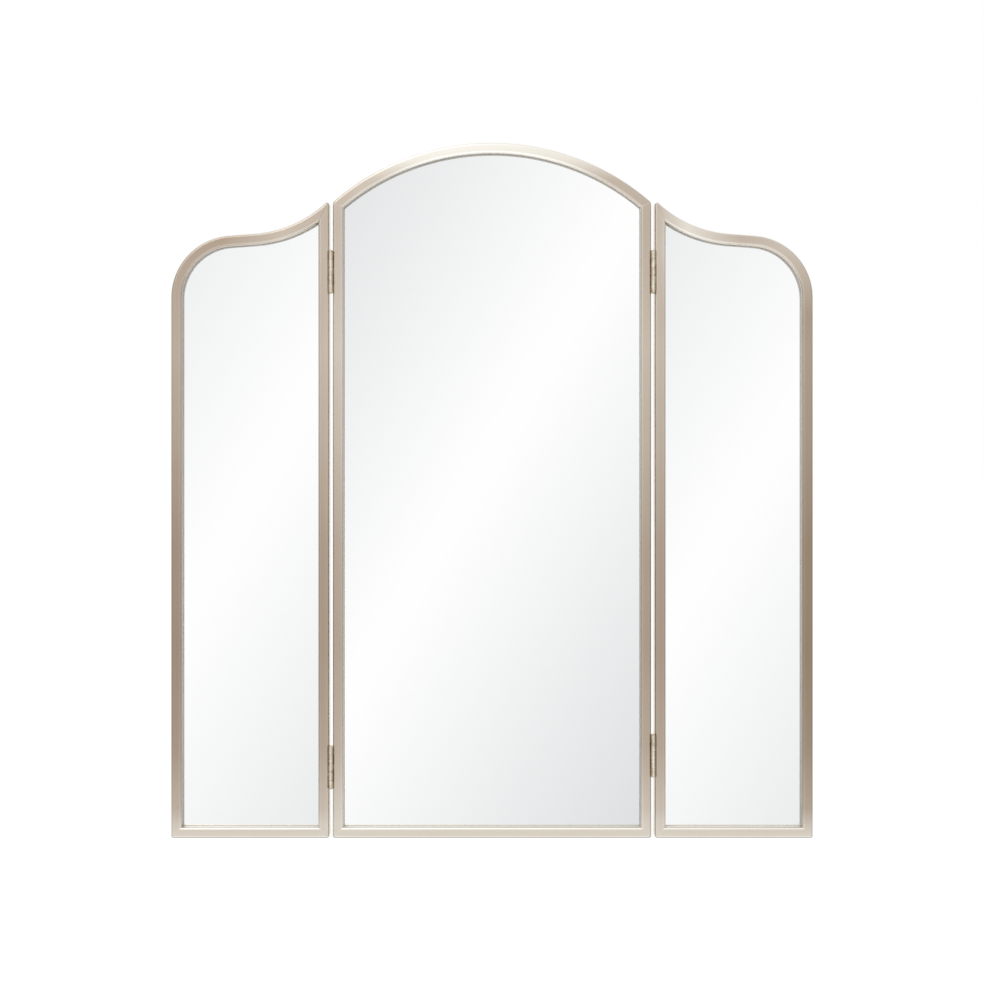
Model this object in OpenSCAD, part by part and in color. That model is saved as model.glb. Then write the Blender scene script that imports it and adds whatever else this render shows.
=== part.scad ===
// Folding vanity mirror: an arched centre panel and two hinged wings, each a mirror in a thin metal frame.
// X runs across the panels, Y from the front (negative) to the back, Z up. The origin is under the middle.

/* [Centre panel] */
// Width of the centre panel over its frame
centre_w = 378; // [320:1:440]
// Height of the centre panel, from its foot to the top of the arch
centre_h = 826; // [790:1:900]
// Rise of the arch above the shoulders
arch_rise = 71; // [42:0.5:92]
// Radius that softens the shoulder corners, seen from the front
corner_r = 6; // [1:0.5:10]

/* [Wings] */
// Space between the two wings when both lie folded over the centre panel
closed_gap = 3; // [1:0.5:20]
// Distance below the arch's ends at which the wing's outer side begins to bend in
side_drop = 113.5; // [98:0.5:190]
// Outer radius of the wing's shoulder bend
shoulder_r = 74; // [50:1:80]
// Length of the straight run between the shoulder and the sweep
run_length = 31; // [19:1:39]
// Outer radius of the sweep that climbs to the hinge side
sweep_r = 140; // [130:1:180]
// Radius that blunts the wing's sharp peak, seen from the front
tip_r = 2.5; // [1:0.5:5]

/* [Frame bar] */
// Width of the bar's face
bar_w = 12.7; // [11:0.1:18]
// Depth of the bar from front to back
frame_d = 24; // [23:0.5:34]
// Radius of the bar's two front edges
edge_r = 3; // [1.5:0.1:3.4]
// Radius of the bar's rear outer edge
rear_r = 1; // [0.4:0.1:1.5]
// Thickness of the bar's face behind the front
web_t = 2; // [1.5:0.1:3]
// Thickness of the bar's outer wall, which the hinges are screwed to
wall_t = 3; // [2.8:0.1:4]
// Thickness of the lip in front of the glass
lip_t = 2; // [1.5:0.1:2.5]
// Depth of the lip, from the front of the face to its back edge
lip_d = 12; // [10:0.1:12.5]
// Width of the two flanges of the key channel
flange_w = 5; // [4.2:0.1:6]
// Thickness of those flanges
flange_t = 1; // [0.8:0.1:1.4]
// Depth of the key channel between its flanges
key_gap = 2; // [1.6:0.1:2.4]

/* [Glazing] */
// Thickness of the mirror glass
glass_t = 3; // [2:0.5:4]
// Space between the edge of the glass and the bar's outer wall
glass_clear = 1; // [0.5:0.1:2]
// Thickness of the glazing tape between lip and glass
tape_t = 0.8; // [0.5:0.1:1.2]
// Width of tape that shows beyond the lip
tape_show = 0.5; // [0.3:0.1:2]
// Gap in the tape where two strips meet in a corner
tape_cut = 0.4; // [0.2:0.1:1]
// Thickness of the backing board
board_t = 2.5; // [2:0.5:3]

/* [Springs] */
// Length of a spring clip
spring_l = 40; // [30:1:60]
// Width of a spring clip
spring_w = 9; // [7:0.5:12]
// Thickness of the spring steel
spring_t = 0.4; // [0.3:0.1:0.6]
// Space between a spring clip and the bar's outer wall
spring_clear = 0.3; // [0.2:0.1:0.8]
// Height of the lower spring clips above the foot
spring_low_z = 190; // [130:1:260]
// Height of the upper spring clips above the foot
spring_high_z = 560; // [450:1:600]

/* [Corner keys] */
// Reach of a corner key along each bar, from the corner
key_reach = 34; // [30:1:40]
// Play of a corner key in its channel
key_clear = 0.2; // [0.1:0.05:0.3]
// Distance of a key screw from the corner
key_screw_at = 24; // [20:1:27]
// Distance of a key screw from the sharp corner at the wing's peak
peak_screw_at = 30; // [28:1:36]
// Reach of the corner key at the wing's peak
peak_reach = 42; // [39:1:48]
// Head diameter of a key screw
key_head_d = 3.6; // [3.2:0.1:4]
// Thread diameter of a key screw
key_thread_d = 2; // [1.6:0.1:2.4]
// Width of the slot in a key screw's head
slot_w = 0.6; // [0.4:0.1:0.8]
// Depth of that slot
slot_d = 0.4; // [0.3:0.1:0.6]

/* [Hinges] */
// Height of a hinge
hinge_h = 50; // [40:1:64]
// Width of a leaf from the pin's axis to its free edge
leaf_w = 16; // [13:0.5:18]
// Thickness of a leaf
leaf_t = 1.5; // [1.2:0.1:1.8]
// Space between the two leaves when the mirror lies open
leaf_clear = 1.5; // [1.4:0.1:2]
// Outer diameter of the knuckles
barrel_d = 5.5; // [5:0.1:7]
// Diameter of the hinge pin
pin_d = 2.4; // [2:0.1:2.6]
// Running clearance of the pin in its knuckles, on the radius
pin_clear = 0.05; // [0.02:0.01:0.1]
// Number of knuckles on a hinge, an odd number
knuckles = 5; // [3:2:7]
// Gap between two neighbouring knuckles
knuckle_gap = 0.3; // [0.3:0.05:0.5]
// Least space between the barrel and the frames beside it
barrel_clear = 0.4; // [0.3:0.1:1]
// Space between the faces of a closed wing and the centre panel
face_gap = 1.6; // [1:0.1:4]
// Diameter of the pin's heads
pin_head_d = 4.4; // [3.6:0.1:5]
// Height of the pin's heads
pin_head_h = 0.9; // [0.6:0.1:1.5]
// Distance of the upper hinges' centres below the arch's ends
hinge_drop = 83; // [68:0.5:140]
// Height of the lower left hinge's centre above the foot
hinge_low_left_z = 84; // [60:1:120]
// Height of the lower right hinge's centre above the foot
hinge_low_right_z = 98; // [60:1:120]

/* [Hinge screws] */
// Head diameter of a hinge screw
hinge_head_d = 5.2; // [4.8:0.1:5.4]
// Thread diameter of a hinge screw
hinge_thread_d = 2.6; // [2.2:0.1:3]
// Length of thread in the frame's wall
hinge_thread_l = 2.5; // [2:0.1:2.6]
// Distance of the hinge screws from the pin's axis
hinge_screw_y = 9.5; // [8:0.5:11]
// Distance of the outer screws from the middle of the leaf
hinge_screw_z = 17; // [12:1:18]

/* [Hidden] */
// Steps in a rounded edge or a spring, and in a long arc
edge_steps = 8;
arc_steps = 32;
// Facets of a full turn: a bent bar, a hinge's round parts, a screw
bend_facets = 180;
hinge_facets = 48;
screw_facets = 32;
// Overlap of a cutting tool with the surface that it enters
cut_over = 0.5;
// Share of a mitre line that a cutting outline runs past each end
mitre_over = 0.5;
// Angle that the arched bar runs past its mitres before they are cut
arch_over = 5;
// Angle that the sweep runs past the peak's mitre before it is cut
sweep_over = 8;

half_w = centre_w / 2;
panel_gap = 2 * leaf_t + leaf_clear;
side_h = centre_h - arch_rise;
wing_side_h = side_h - side_drop;
hinge_top_z = side_h - hinge_drop;
wing_w = (centre_w - closed_gap) / 2;
wing_x = half_w + panel_gap;

// The arch is one circular arc through both shoulders.
arch_r = (half_w * half_w + arch_rise * arch_rise) / (2 * arch_rise);
arch_z = centre_h - arch_r;

// The wing's top, from the outer side: shoulder bend, straight run, sweep.
// The run falls towards the outer side by the angle of the triangle with whole sides 237, 3116
// and 3125, so that the bar's lengths meet exactly at both of its ends.
run_fall = asin(237 / 3125);
run_normal = [sin(run_fall), cos(run_fall)];
run_along = [-cos(run_fall), sin(run_fall)];
shoulder_c = [wing_w - shoulder_r, wing_side_h];
run_start = shoulder_c + shoulder_r * run_normal;
run_end = run_start + run_length * run_along;
sweep_c = run_end + sweep_r * run_normal;

// Depths behind the front of the face, in the order of the glazing.
glass_y = lip_d + tape_t;
board_y = glass_y + glass_t;
spring_y = board_y + board_t;
rear_flange_y = frame_d - flange_t;
key_y = rear_flange_y - key_gap;
stop_y = key_y - flange_t;
spring_h = stop_y - spring_y;
key_t = key_gap - key_clear;

glass_inset = wall_t + glass_clear;
key_mid = wall_t + flange_w / 2;

barrel_r = barrel_d / 2;
// The pin stands in front of the faces by half their closed gap, or as far as a fat barrel needs.
barrel_reach = barrel_r + barrel_clear + edge_r;
side_reach = panel_gap / 2 + edge_r;
barrel_need = sqrt(max(0, barrel_reach * barrel_reach - side_reach * side_reach)) - edge_r;
pin_proud = max(face_gap / 2, barrel_need);
pin_x = half_w + panel_gap / 2;
// The front of the faces, placed so that the whole depth is centred on the origin.
front_y = -(frame_d - pin_proud - barrel_r) / 2;
pin_y = front_y - pin_proud;
knuckle_h = hinge_h / knuckles;

LEFT = -1;
RIGHT = 1;
metal = [0.74, 0.67, 0.59];
dark_metal = [0.45, 0.43, 0.4];
mirror_grey = [0.86, 0.88, 0.89];
tape_black = [0.12, 0.12, 0.12];
board_brown = [0.36, 0.27, 0.2];
steel = [0.66, 0.67, 0.68];

// Points along an arc from angle a0 to angle a1.
function arc_points(c, r, a0, a1, steps) =
    [for (i = [0:steps]) let (a = a0 + (a1 - a0) * i / steps) c + r * [cos(a), sin(a)]];

// Height of the arch, and of the wing's sweep, at a distance in from the outer edge.
function arch_height(inset) =
    arch_z + sqrt(pow(arch_r - inset, 2) - pow(half_w - inset, 2));
function peak_height(inset) =
    sweep_c.y - sqrt(pow(sweep_r + inset, 2) - pow(sweep_c.x - inset, 2));

// Angles at which the arch and the sweep meet the stile at a distance in from the edge.
function arch_angle(inset) = acos((half_w - inset) / (arch_r - inset));
function peak_angle(inset) = 180 + acos((sweep_c.x - inset) / (sweep_r + inset));

// Outline of a panel, drawn in by a given distance all round.
function centre_outline(inset) = concat(
    [[half_w - inset, inset], [inset - half_w, inset]],
    arc_points([0, arch_z], arch_r - inset, 180 - arch_angle(inset), arch_angle(inset), arc_steps)
);
function wing_outline(inset) = concat(
    [[wing_w - inset, inset], [inset, inset]],
    arc_points(sweep_c, sweep_r + inset, peak_angle(inset), 270 - run_fall, arc_steps),
    arc_points(shoulder_c, shoulder_r - inset, 90 - run_fall, 0, arc_steps)
);

// The two ends of a mitre line, outer end first, run past the bar at both ends.
function mitre(outer, inner) =
    [outer + mitre_over * (outer - inner), inner + mitre_over * (inner - outer)];
centre_foot_mitre = mitre([-half_w, 0], [bar_w - half_w, bar_w]);
centre_shoulder_mitre = mitre([-half_w, arch_height(0)], [bar_w - half_w, arch_height(bar_w)]);
wing_hinge_foot_mitre = mitre([0, 0], [bar_w, bar_w]);
wing_outer_foot_mitre = mitre([wing_w, 0], [wing_w - bar_w, bar_w]);
wing_peak_mitre = mitre([0, peak_height(0)], [bar_w, peak_height(bar_w)]);
function flip(p) = [-p.x, p.y];

// Outline of what is cut away to round a corner between a stile at the left and a curve above it.
// At is the rounding's centre, and turn the angle at which it meets the curve.
function corner_waste(at, r, turn) = concat(
    [[at.x - r - bar_w, at.y]],
    arc_points(at, r, 180, turn, edge_steps),
    [at + (r + bar_w) * [cos(turn), sin(turn)], [at.x - r - bar_w, at.y + r + 2 * bar_w]]
);

// Section of the frame bar: x runs in from the outer edge, y back from the face.
module bar_section() {
    polygon(concat(
        arc_points([edge_r, edge_r], edge_r, 180, 270, edge_steps),
        arc_points([bar_w - edge_r, edge_r], edge_r, 270, 360, edge_steps),
        [
            [bar_w, lip_d], [bar_w - lip_t, lip_d], [bar_w - lip_t, web_t], [wall_t, web_t],
            [wall_t, stop_y], [wall_t + flange_w, stop_y],
            [wall_t + flange_w, key_y], [wall_t, key_y],
            [wall_t, rear_flange_y], [wall_t + flange_w, rear_flange_y], [wall_t + flange_w, frame_d]
        ],
        arc_points([rear_r, frame_d - rear_r], rear_r, 90, 180, edge_steps)
    ));
}

// A flat piece with the given outline, from one depth to another. In plan, y is height.
module plate(points, y0, y1) {
    translate([0, y1, 0])
        rotate([90, 0, 0])
            linear_extrude(y1 - y0)
                polygon(points);
}

// A straight bar from a point in plan, along a heading, with its outer edge on the left hand.
module straight_bar(from, heading, length) {
    translate([from.x, 0, from.y])
        rotate([0, 90 - heading, 0])
            linear_extrude(length)
                bar_section();
}
// A slim block inside the bar's wall, across the face where two lengths of one bar meet.
module wall_tie(at) {
    translate([at.x - wall_t / 4, edge_r, at.y - wall_t / 4])
        cube([wall_t / 2, frame_d - edge_r - rear_r, wall_t / 2]);
}

// A bar bent round a centre at the origin, its outer edge on the far side of the bend.
module outward_bend(radius, angle) {
    rotate([90, 0, 0])
        rotate_extrude(angle = angle, $fn = bend_facets)
            translate([radius, 0])
                rotate(180)
                    bar_section();
}
// The same with its outer edge on the near side.
module inward_bend(radius, angle) {
    rotate([90, 0, 0])
        rotate_extrude(angle = angle, $fn = bend_facets)
            translate([radius, 0])
                mirror([0, 1])
                    bar_section();
}
// The wing's bar round the shoulder, laid out from the shoulder's centre so that its lengths
// meet face to face: down the side, round the bend, along the run and up the sweep.
module wing_bar() {
    translate([shoulder_c.x, 0, shoulder_c.y]) {
        straight_bar([shoulder_r, 0], -90, wing_side_h + bar_w);
        wall_tie([shoulder_r - wall_t / 2, 0]);
        intersection() {
            outward_bend(shoulder_r, 90);
            rotate([0, run_fall, 0])
                translate([0, -frame_d, -shoulder_r])
                    cube([2 * shoulder_r, 3 * frame_d, 3 * shoulder_r]);
        }
        rotate([0, run_fall, 0]) {
            straight_bar([-run_length, shoulder_r], 0, run_length);
            wall_tie([0, shoulder_r - wall_t / 2]);
            wall_tie([-run_length, shoulder_r - wall_t / 2]);
            translate([-run_length, 0, shoulder_r + sweep_r])
                mirror([1, 0, 0])
                    rotate([0, 90, 0])
                        inward_bend(sweep_r, 270 - peak_angle(0) + sweep_over);
        }
    }
}

// A bar trimmed at its mitres, with the outline of what stays.
module trimmed(outline) {
    intersection() {
        children();
        plate(outline, -cut_over, frame_d + cut_over);
    }
}

// A countersunk screw that enters along +Z from its head at zero. Extra runs out past the head.
module countersunk(head_d, thread_d, length, extra = 0) {
    head_h = (head_d - thread_d) / 2;
    cylinder(h = head_h, d1 = head_d, d2 = thread_d, $fn = screw_facets);
    translate([0, 0, head_h / 2])
        cylinder(h = length - head_h / 2, d = thread_d, $fn = screw_facets);
    if (extra > 0)
        translate([0, 0, -extra])
            cylinder(h = extra, d = head_d, $fn = screw_facets);
}

// A key screw seen from the back, at a point in plan.
module key_screw(at, extra = 0) {
    translate([at.x, frame_d, at.y])
        rotate([90, 0, 0])
            difference() {
                countersunk(key_head_d, key_thread_d, flange_t + key_t, extra);
                if (extra == 0)
                    translate([-key_head_d, -slot_w / 2, -slot_d])
                        cube([2 * key_head_d, slot_w, 2 * slot_d]);
            }
}

// Places of the key screws in each panel.
arch_turn = key_screw_at / (arch_r - key_mid) * 180 / PI;
sweep_turn = peak_screw_at / (sweep_r + key_mid) * 180 / PI;
centre_arch_screw = [0, arch_z] + (arch_r - key_mid)
    * [cos(arch_angle(key_mid) + arch_turn), sin(arch_angle(key_mid) + arch_turn)];
centre_right_screws = [
    [half_w - key_screw_at, key_mid], [half_w - key_mid, key_screw_at],
    [half_w - key_mid, arch_height(0) - key_screw_at], centre_arch_screw
];
wing_sweep_screw = sweep_c + (sweep_r + key_mid)
    * [cos(peak_angle(key_mid) + sweep_turn), sin(peak_angle(key_mid) + sweep_turn)];
wing_screws = [
    [key_mid, key_screw_at], [key_screw_at, key_mid],
    [wing_w - key_screw_at, key_mid], [wing_w - key_mid, key_screw_at],
    [key_mid, peak_height(key_mid) - peak_screw_at], wing_sweep_screw
];

module centre_key_screw_set(extra = 0) {
    for (p = centre_right_screws) {
        key_screw(p, extra);
        key_screw(flip(p), extra);
    }
}
module wing_key_screw_set(extra = 0) {
    for (p = wing_screws)
        key_screw(p, extra);
}

// What is cut away at the shoulders and at the peak.
module shoulder_waste() {
    for (s = [0, 1])
        mirror([s, 0, 0])
            plate(
                corner_waste(
                    [corner_r - half_w, arch_height(corner_r)], corner_r, 180 - arch_angle(corner_r)
                ),
                -cut_over, frame_d + cut_over
            );
}
module peak_waste() {
    plate(
        corner_waste([tip_r, peak_height(tip_r)], tip_r, peak_angle(tip_r) - 180),
        -cut_over, frame_d + cut_over
    );
}

// The flat band that fills the key channel of a panel.
module key_band(outer, inner) {
    difference() {
        plate(outer, rear_flange_y - key_t, rear_flange_y);
        plate(inner, rear_flange_y - key_t - cut_over, rear_flange_y + cut_over);
    }
}
module corner_box(at, reach) {
    translate([at.x - reach, 0, at.y - reach])
        cube([2 * reach, frame_d, 2 * reach]);
}

// A ring of tape behind the lip, cut where its strips meet.
module tape_ring(outer, inner) {
    difference() {
        plate(outer, lip_d, lip_d + tape_t);
        plate(inner, lip_d - cut_over, lip_d + tape_t + cut_over);
        children();
    }
}
module tape_break(line) {
    along = line[1] - line[0];
    across = tape_cut / 2 * [-along.y, along.x] / norm(along);
    plate([line[0] + across, line[0] - across, line[1] - across, line[1] + across],
        lip_d - cut_over, lip_d + tape_t + cut_over);
}

// A bowed spring clip along an upright bar: its belly bears on the board, its ends on the flange.
bow_h = spring_h - spring_t;
bow_r = (bow_h * bow_h + spring_l * spring_l / 4) / (2 * bow_h);
bow_turn = asin(spring_l / 2 / bow_r);
// The straight clip under the arch sits lower by the rise of the wall's curve over its length.
arch_spring_drop = arch_r - wall_t - sqrt(pow(arch_r - wall_t, 2) - pow(spring_l / 2, 2));
module spring_clip() {
    translate([wall_t + spring_clear, spring_y + bow_r, 0])
        rotate([0, 90, 0])
            linear_extrude(spring_w)
                polygon(concat(
                    arc_points([0, 0], bow_r, 270 - bow_turn, 270 + bow_turn, edge_steps),
                    arc_points([0, 0], bow_r - spring_t, 270 + bow_turn, 270 - bow_turn, edge_steps)
                ));
}
// The same clip along a bar whose outer edge is at a point in plan, turned from upright.
module spring_at(at, turn) {
    translate([at.x, 0, at.y])
        rotate([0, -turn, 0])
            spring_clip();
}

// Hinge pieces, drawn about the pin's axis with the centre panel on the -X side.
module knuckle_row(first) {
    for (i = [first:2:knuckles - 1])
        translate([0, 0, i * knuckle_h - hinge_h / 2 + knuckle_gap / 2])
            cylinder(h = knuckle_h - knuckle_gap, d = barrel_d, $fn = hinge_facets);
}
module knuckle_room(first) {
    for (i = [first:2:knuckles - 1])
        translate([0, 0, i * knuckle_h - hinge_h / 2 - knuckle_gap / 2])
            cylinder(h = knuckle_h + knuckle_gap, r = barrel_r + knuckle_gap, $fn = hinge_facets);
}
module leaf_screws(extra = 0) {
    for (z = [-hinge_screw_z, 0, hinge_screw_z])
        translate([leaf_t - panel_gap / 2, hinge_screw_y, z])
            rotate([0, -90, 0])
                countersunk(hinge_head_d, hinge_thread_d, leaf_t + hinge_thread_l, extra);
}
// The centre leaf has the even knuckles and the wing leaf, mirrored in place, the odd ones.
module leaf(own, other) {
    difference() {
        union() {
            knuckle_row(own);
            difference() {
                translate([-panel_gap / 2, 0, knuckle_gap / 2 - hinge_h / 2])
                    cube([leaf_t, leaf_w, hinge_h - knuckle_gap]);
                knuckle_room(other);
            }
        }
        cylinder(h = 2 * hinge_h, r = pin_d / 2 + pin_clear, center = true, $fn = hinge_facets);
        leaf_screws(cut_over);
    }
}
module hinge_pin() {
    cylinder(h = hinge_h, d = pin_d, center = true, $fn = hinge_facets);
    for (s = [-1, 1])
        translate([0, 0, s * (hinge_h + pin_head_h) / 2])
            cylinder(h = pin_head_h, d = pin_head_d, center = true, $fn = hinge_facets);
}

function low_z(side) = side == LEFT ? hinge_low_left_z : hinge_low_right_z;

// Puts a right-hand piece on either side.
module on_side(side) {
    mirror([side == LEFT ? 1 : 0, 0, 0])
        children();
}
module at_pin(side, z) {
    on_side(side)
        translate([pin_x, pin_y, z])
            children();
}
module centre_screws_on(side, extra = 0) {
    for (z = [low_z(side), hinge_top_z])
        at_pin(side, z)
            leaf_screws(extra);
}
module wing_screws_on(side, extra = 0) {
    for (z = [low_z(side), hinge_top_z])
        at_pin(side, z)
            mirror([1, 0, 0])
                leaf_screws(extra);
}
// Moves what is drawn from the face at depth zero to its place.
module in_panel() {
    translate([0, front_y, 0])
        children();
}
module in_wing(side) {
    on_side(side)
        translate([wing_x, front_y, 0])
            children();
}

// Centre panel
module centre_stile(side) {
    color(metal)
        difference() {
            in_panel()
                on_side(-side)
                    difference() {
                        trimmed([
                            centre_foot_mitre[0], centre_foot_mitre[1],
                            centre_shoulder_mitre[1], centre_shoulder_mitre[0]
                        ])
                            straight_bar([-half_w, 0], 90, arch_height(0) + bar_w);
                        shoulder_waste();
                        centre_key_screw_set(cut_over);
                    }
            centre_screws_on(side, cut_over);
        }
}
module centre_bottom_rail() {
    color(metal)
        in_panel()
            difference() {
                trimmed([
                    centre_foot_mitre[0], centre_foot_mitre[1],
                    flip(centre_foot_mitre[1]), flip(centre_foot_mitre[0])
                ])
                    straight_bar([half_w + bar_w, 0], 180, centre_w + 2 * bar_w);
                centre_key_screw_set(cut_over);
            }
}
module centre_arch_rail() {
    color(metal)
        in_panel()
            difference() {
                trimmed([
                    centre_shoulder_mitre[1], centre_shoulder_mitre[0],
                    [-half_w, centre_h + bar_w], [half_w, centre_h + bar_w],
                    flip(centre_shoulder_mitre[0]), flip(centre_shoulder_mitre[1])
                ])
                    translate([0, 0, arch_z])
                        rotate([0, arch_over - arch_angle(0), 0])
                            outward_bend(arch_r, 180 - 2 * arch_angle(0) + 2 * arch_over);
                shoulder_waste();
                centre_key_screw_set(cut_over);
            }
}
module centre_glass() {
    color(mirror_grey)
        in_panel()
            plate(centre_outline(glass_inset), glass_y, board_y);
}
module centre_tape() {
    color(tape_black)
        in_panel()
            tape_ring(centre_outline(bar_w - lip_t), centre_outline(bar_w + tape_show)) {
                tape_break(centre_foot_mitre);
                tape_break(centre_shoulder_mitre);
                mirror([1, 0, 0]) {
                    tape_break(centre_foot_mitre);
                    tape_break(centre_shoulder_mitre);
                }
            }
}
module centre_backing() {
    color(board_brown)
        in_panel()
            plate(centre_outline(glass_inset), board_y, spring_y);
}
module centre_springs() {
    color(steel)
        in_panel() {
            for (side = [LEFT, RIGHT])
                for (z = [spring_low_z, spring_high_z])
                    on_side(side)
                        spring_at([half_w, z], 180);
            spring_at([0, 0], 90);
            spring_at([0, centre_h - arch_spring_drop], -90);
        }
}
module centre_corner_keys() {
    color(steel)
        in_panel()
            difference() {
                intersection() {
                    key_band(
                        centre_outline(wall_t + key_clear),
                        centre_outline(wall_t + flange_w - key_clear)
                    );
                    for (s = [-1, 1]) {
                        corner_box([s * half_w, 0], key_reach);
                        corner_box([s * half_w, arch_height(0)], key_reach);
                    }
                }
                centre_key_screw_set(cut_over);
            }
}
module centre_key_screws() {
    color(dark_metal)
        in_panel()
            centre_key_screw_set();
}
module centre_hinge_screws() {
    color(steel)
        for (side = [LEFT, RIGHT])
            centre_screws_on(side);
}

// Wings
module wing_stile(side) {
    color(metal)
        difference() {
            in_wing(side)
                difference() {
                    trimmed([
                        wing_hinge_foot_mitre[0], wing_hinge_foot_mitre[1],
                        wing_peak_mitre[1], wing_peak_mitre[0]
                    ])
                        straight_bar([0, 0], 90, peak_height(0) + bar_w);
                    peak_waste();
                    wing_key_screw_set(cut_over);
                }
            wing_screws_on(side, cut_over);
        }
}
module wing_bent_rail(side) {
    color(metal)
        in_wing(side)
            difference() {
                trimmed([
                    wing_peak_mitre[1], wing_peak_mitre[0],
                    [0, peak_height(0) + 2 * bar_w], [wing_w + bar_w, peak_height(0) + 2 * bar_w],
                    wing_outer_foot_mitre[0], wing_outer_foot_mitre[1]
                ])
                    wing_bar();
                peak_waste();
                wing_key_screw_set(cut_over);
            }
}
module wing_bottom_rail(side) {
    color(metal)
        in_wing(side)
            difference() {
                trimmed([
                    wing_hinge_foot_mitre[0], wing_hinge_foot_mitre[1],
                    wing_outer_foot_mitre[1], wing_outer_foot_mitre[0]
                ])
                    straight_bar([wing_w + bar_w, 0], 180, wing_w + 2 * bar_w);
                wing_key_screw_set(cut_over);
            }
}
module wing_glass(side) {
    color(mirror_grey)
        in_wing(side)
            plate(wing_outline(glass_inset), glass_y, board_y);
}
module wing_tape(side) {
    color(tape_black)
        in_wing(side)
            tape_ring(wing_outline(bar_w - lip_t), wing_outline(bar_w + tape_show)) {
                tape_break(wing_hinge_foot_mitre);
                tape_break(wing_outer_foot_mitre);
                tape_break(wing_peak_mitre);
            }
}
module wing_backing(side) {
    color(board_brown)
        in_wing(side)
            plate(wing_outline(glass_inset), board_y, spring_y);
}
module wing_springs(side) {
    color(steel)
        in_wing(side) {
            for (z = [spring_low_z, spring_high_z]) {
                spring_at([0, z], 0);
                spring_at([wing_w, z], 180);
            }
            spring_at([wing_w / 2, 0], 90);
        }
}
module wing_corner_keys(side) {
    color(steel)
        in_wing(side)
            difference() {
                intersection() {
                    key_band(
                        wing_outline(wall_t + key_clear),
                        wing_outline(wall_t + flange_w - key_clear)
                    );
                    union() {
                        corner_box([0, 0], key_reach);
                        corner_box([wing_w, 0], key_reach);
                        corner_box([0, peak_height(0)], peak_reach);
                    }
                }
                wing_key_screw_set(cut_over);
            }
}
module wing_key_screws(side) {
    color(dark_metal)
        in_wing(side)
            wing_key_screw_set();
}
module wing_hinge_screws(side) {
    color(steel)
        wing_screws_on(side);
}

// Hinges
module centre_leaf(side, z) {
    color(metal)
        at_pin(side, z)
            leaf(0, 1);
}
module wing_leaf(side, z) {
    color(metal)
        at_pin(side, z)
            mirror([1, 0, 0])
                leaf(1, 0);
}
module pin_of_hinge(side, z) {
    color(metal)
        at_pin(side, z)
            hinge_pin();
}

centre_stile(LEFT);  // centre_left_stile
centre_stile(RIGHT);  // centre_right_stile
centre_bottom_rail();
centre_arch_rail();
centre_glass();
centre_tape();
centre_backing();
centre_springs();
centre_corner_keys();
centre_key_screws();
centre_hinge_screws();
wing_stile(LEFT);  // left_wing_stile
wing_bent_rail(LEFT);  // left_wing_bent_rail
wing_bottom_rail(LEFT);  // left_wing_bottom_rail
wing_glass(LEFT);  // left_wing_glass
wing_tape(LEFT);  // left_wing_tape
wing_backing(LEFT);  // left_wing_backing
wing_springs(LEFT);  // left_wing_springs
wing_corner_keys(LEFT);  // left_wing_corner_keys
wing_key_screws(LEFT);  // left_wing_key_screws
wing_hinge_screws(LEFT);  // left_wing_hinge_screws
wing_stile(RIGHT);  // right_wing_stile
wing_bent_rail(RIGHT);  // right_wing_bent_rail
wing_bottom_rail(RIGHT);  // right_wing_bottom_rail
wing_glass(RIGHT);  // right_wing_glass
wing_tape(RIGHT);  // right_wing_tape
wing_backing(RIGHT);  // right_wing_backing
wing_springs(RIGHT);  // right_wing_springs
wing_corner_keys(RIGHT);  // right_wing_corner_keys
wing_key_screws(RIGHT);  // right_wing_key_screws
wing_hinge_screws(RIGHT);  // right_wing_hinge_screws
centre_leaf(LEFT, hinge_top_z);  // left_upper_hinge_centre_leaf
wing_leaf(LEFT, hinge_top_z);  // left_upper_hinge_wing_leaf
pin_of_hinge(LEFT, hinge_top_z);  // left_upper_hinge_pin
centre_leaf(LEFT, hinge_low_left_z);  // left_lower_hinge_centre_leaf
wing_leaf(LEFT, hinge_low_left_z);  // left_lower_hinge_wing_leaf
pin_of_hinge(LEFT, hinge_low_left_z);  // left_lower_hinge_pin
centre_leaf(RIGHT, hinge_top_z);  // right_upper_hinge_centre_leaf
wing_leaf(RIGHT, hinge_top_z);  // right_upper_hinge_wing_leaf
pin_of_hinge(RIGHT, hinge_top_z);  // right_upper_hinge_pin
centre_leaf(RIGHT, hinge_low_right_z);  // right_lower_hinge_centre_leaf
wing_leaf(RIGHT, hinge_low_right_z);  // right_lower_hinge_wing_leaf
pin_of_hinge(RIGHT, hinge_low_right_z);  // right_lower_hinge_pin
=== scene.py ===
"""Looks of a folding vanity mirror: an arched centre panel between two shaped wings.

Sizes of pieces are in millimetres, as on a maker's drawing, and turn to metres when a mesh is made.
Finishes and the room are in metres. A place on a panel is given in plan as (across, up), and a
depth is counted back from the front of the frame's face.
"""

import logging
import math
from abc import ABC, abstractmethod
from dataclasses import dataclass
from enum import Enum

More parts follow.
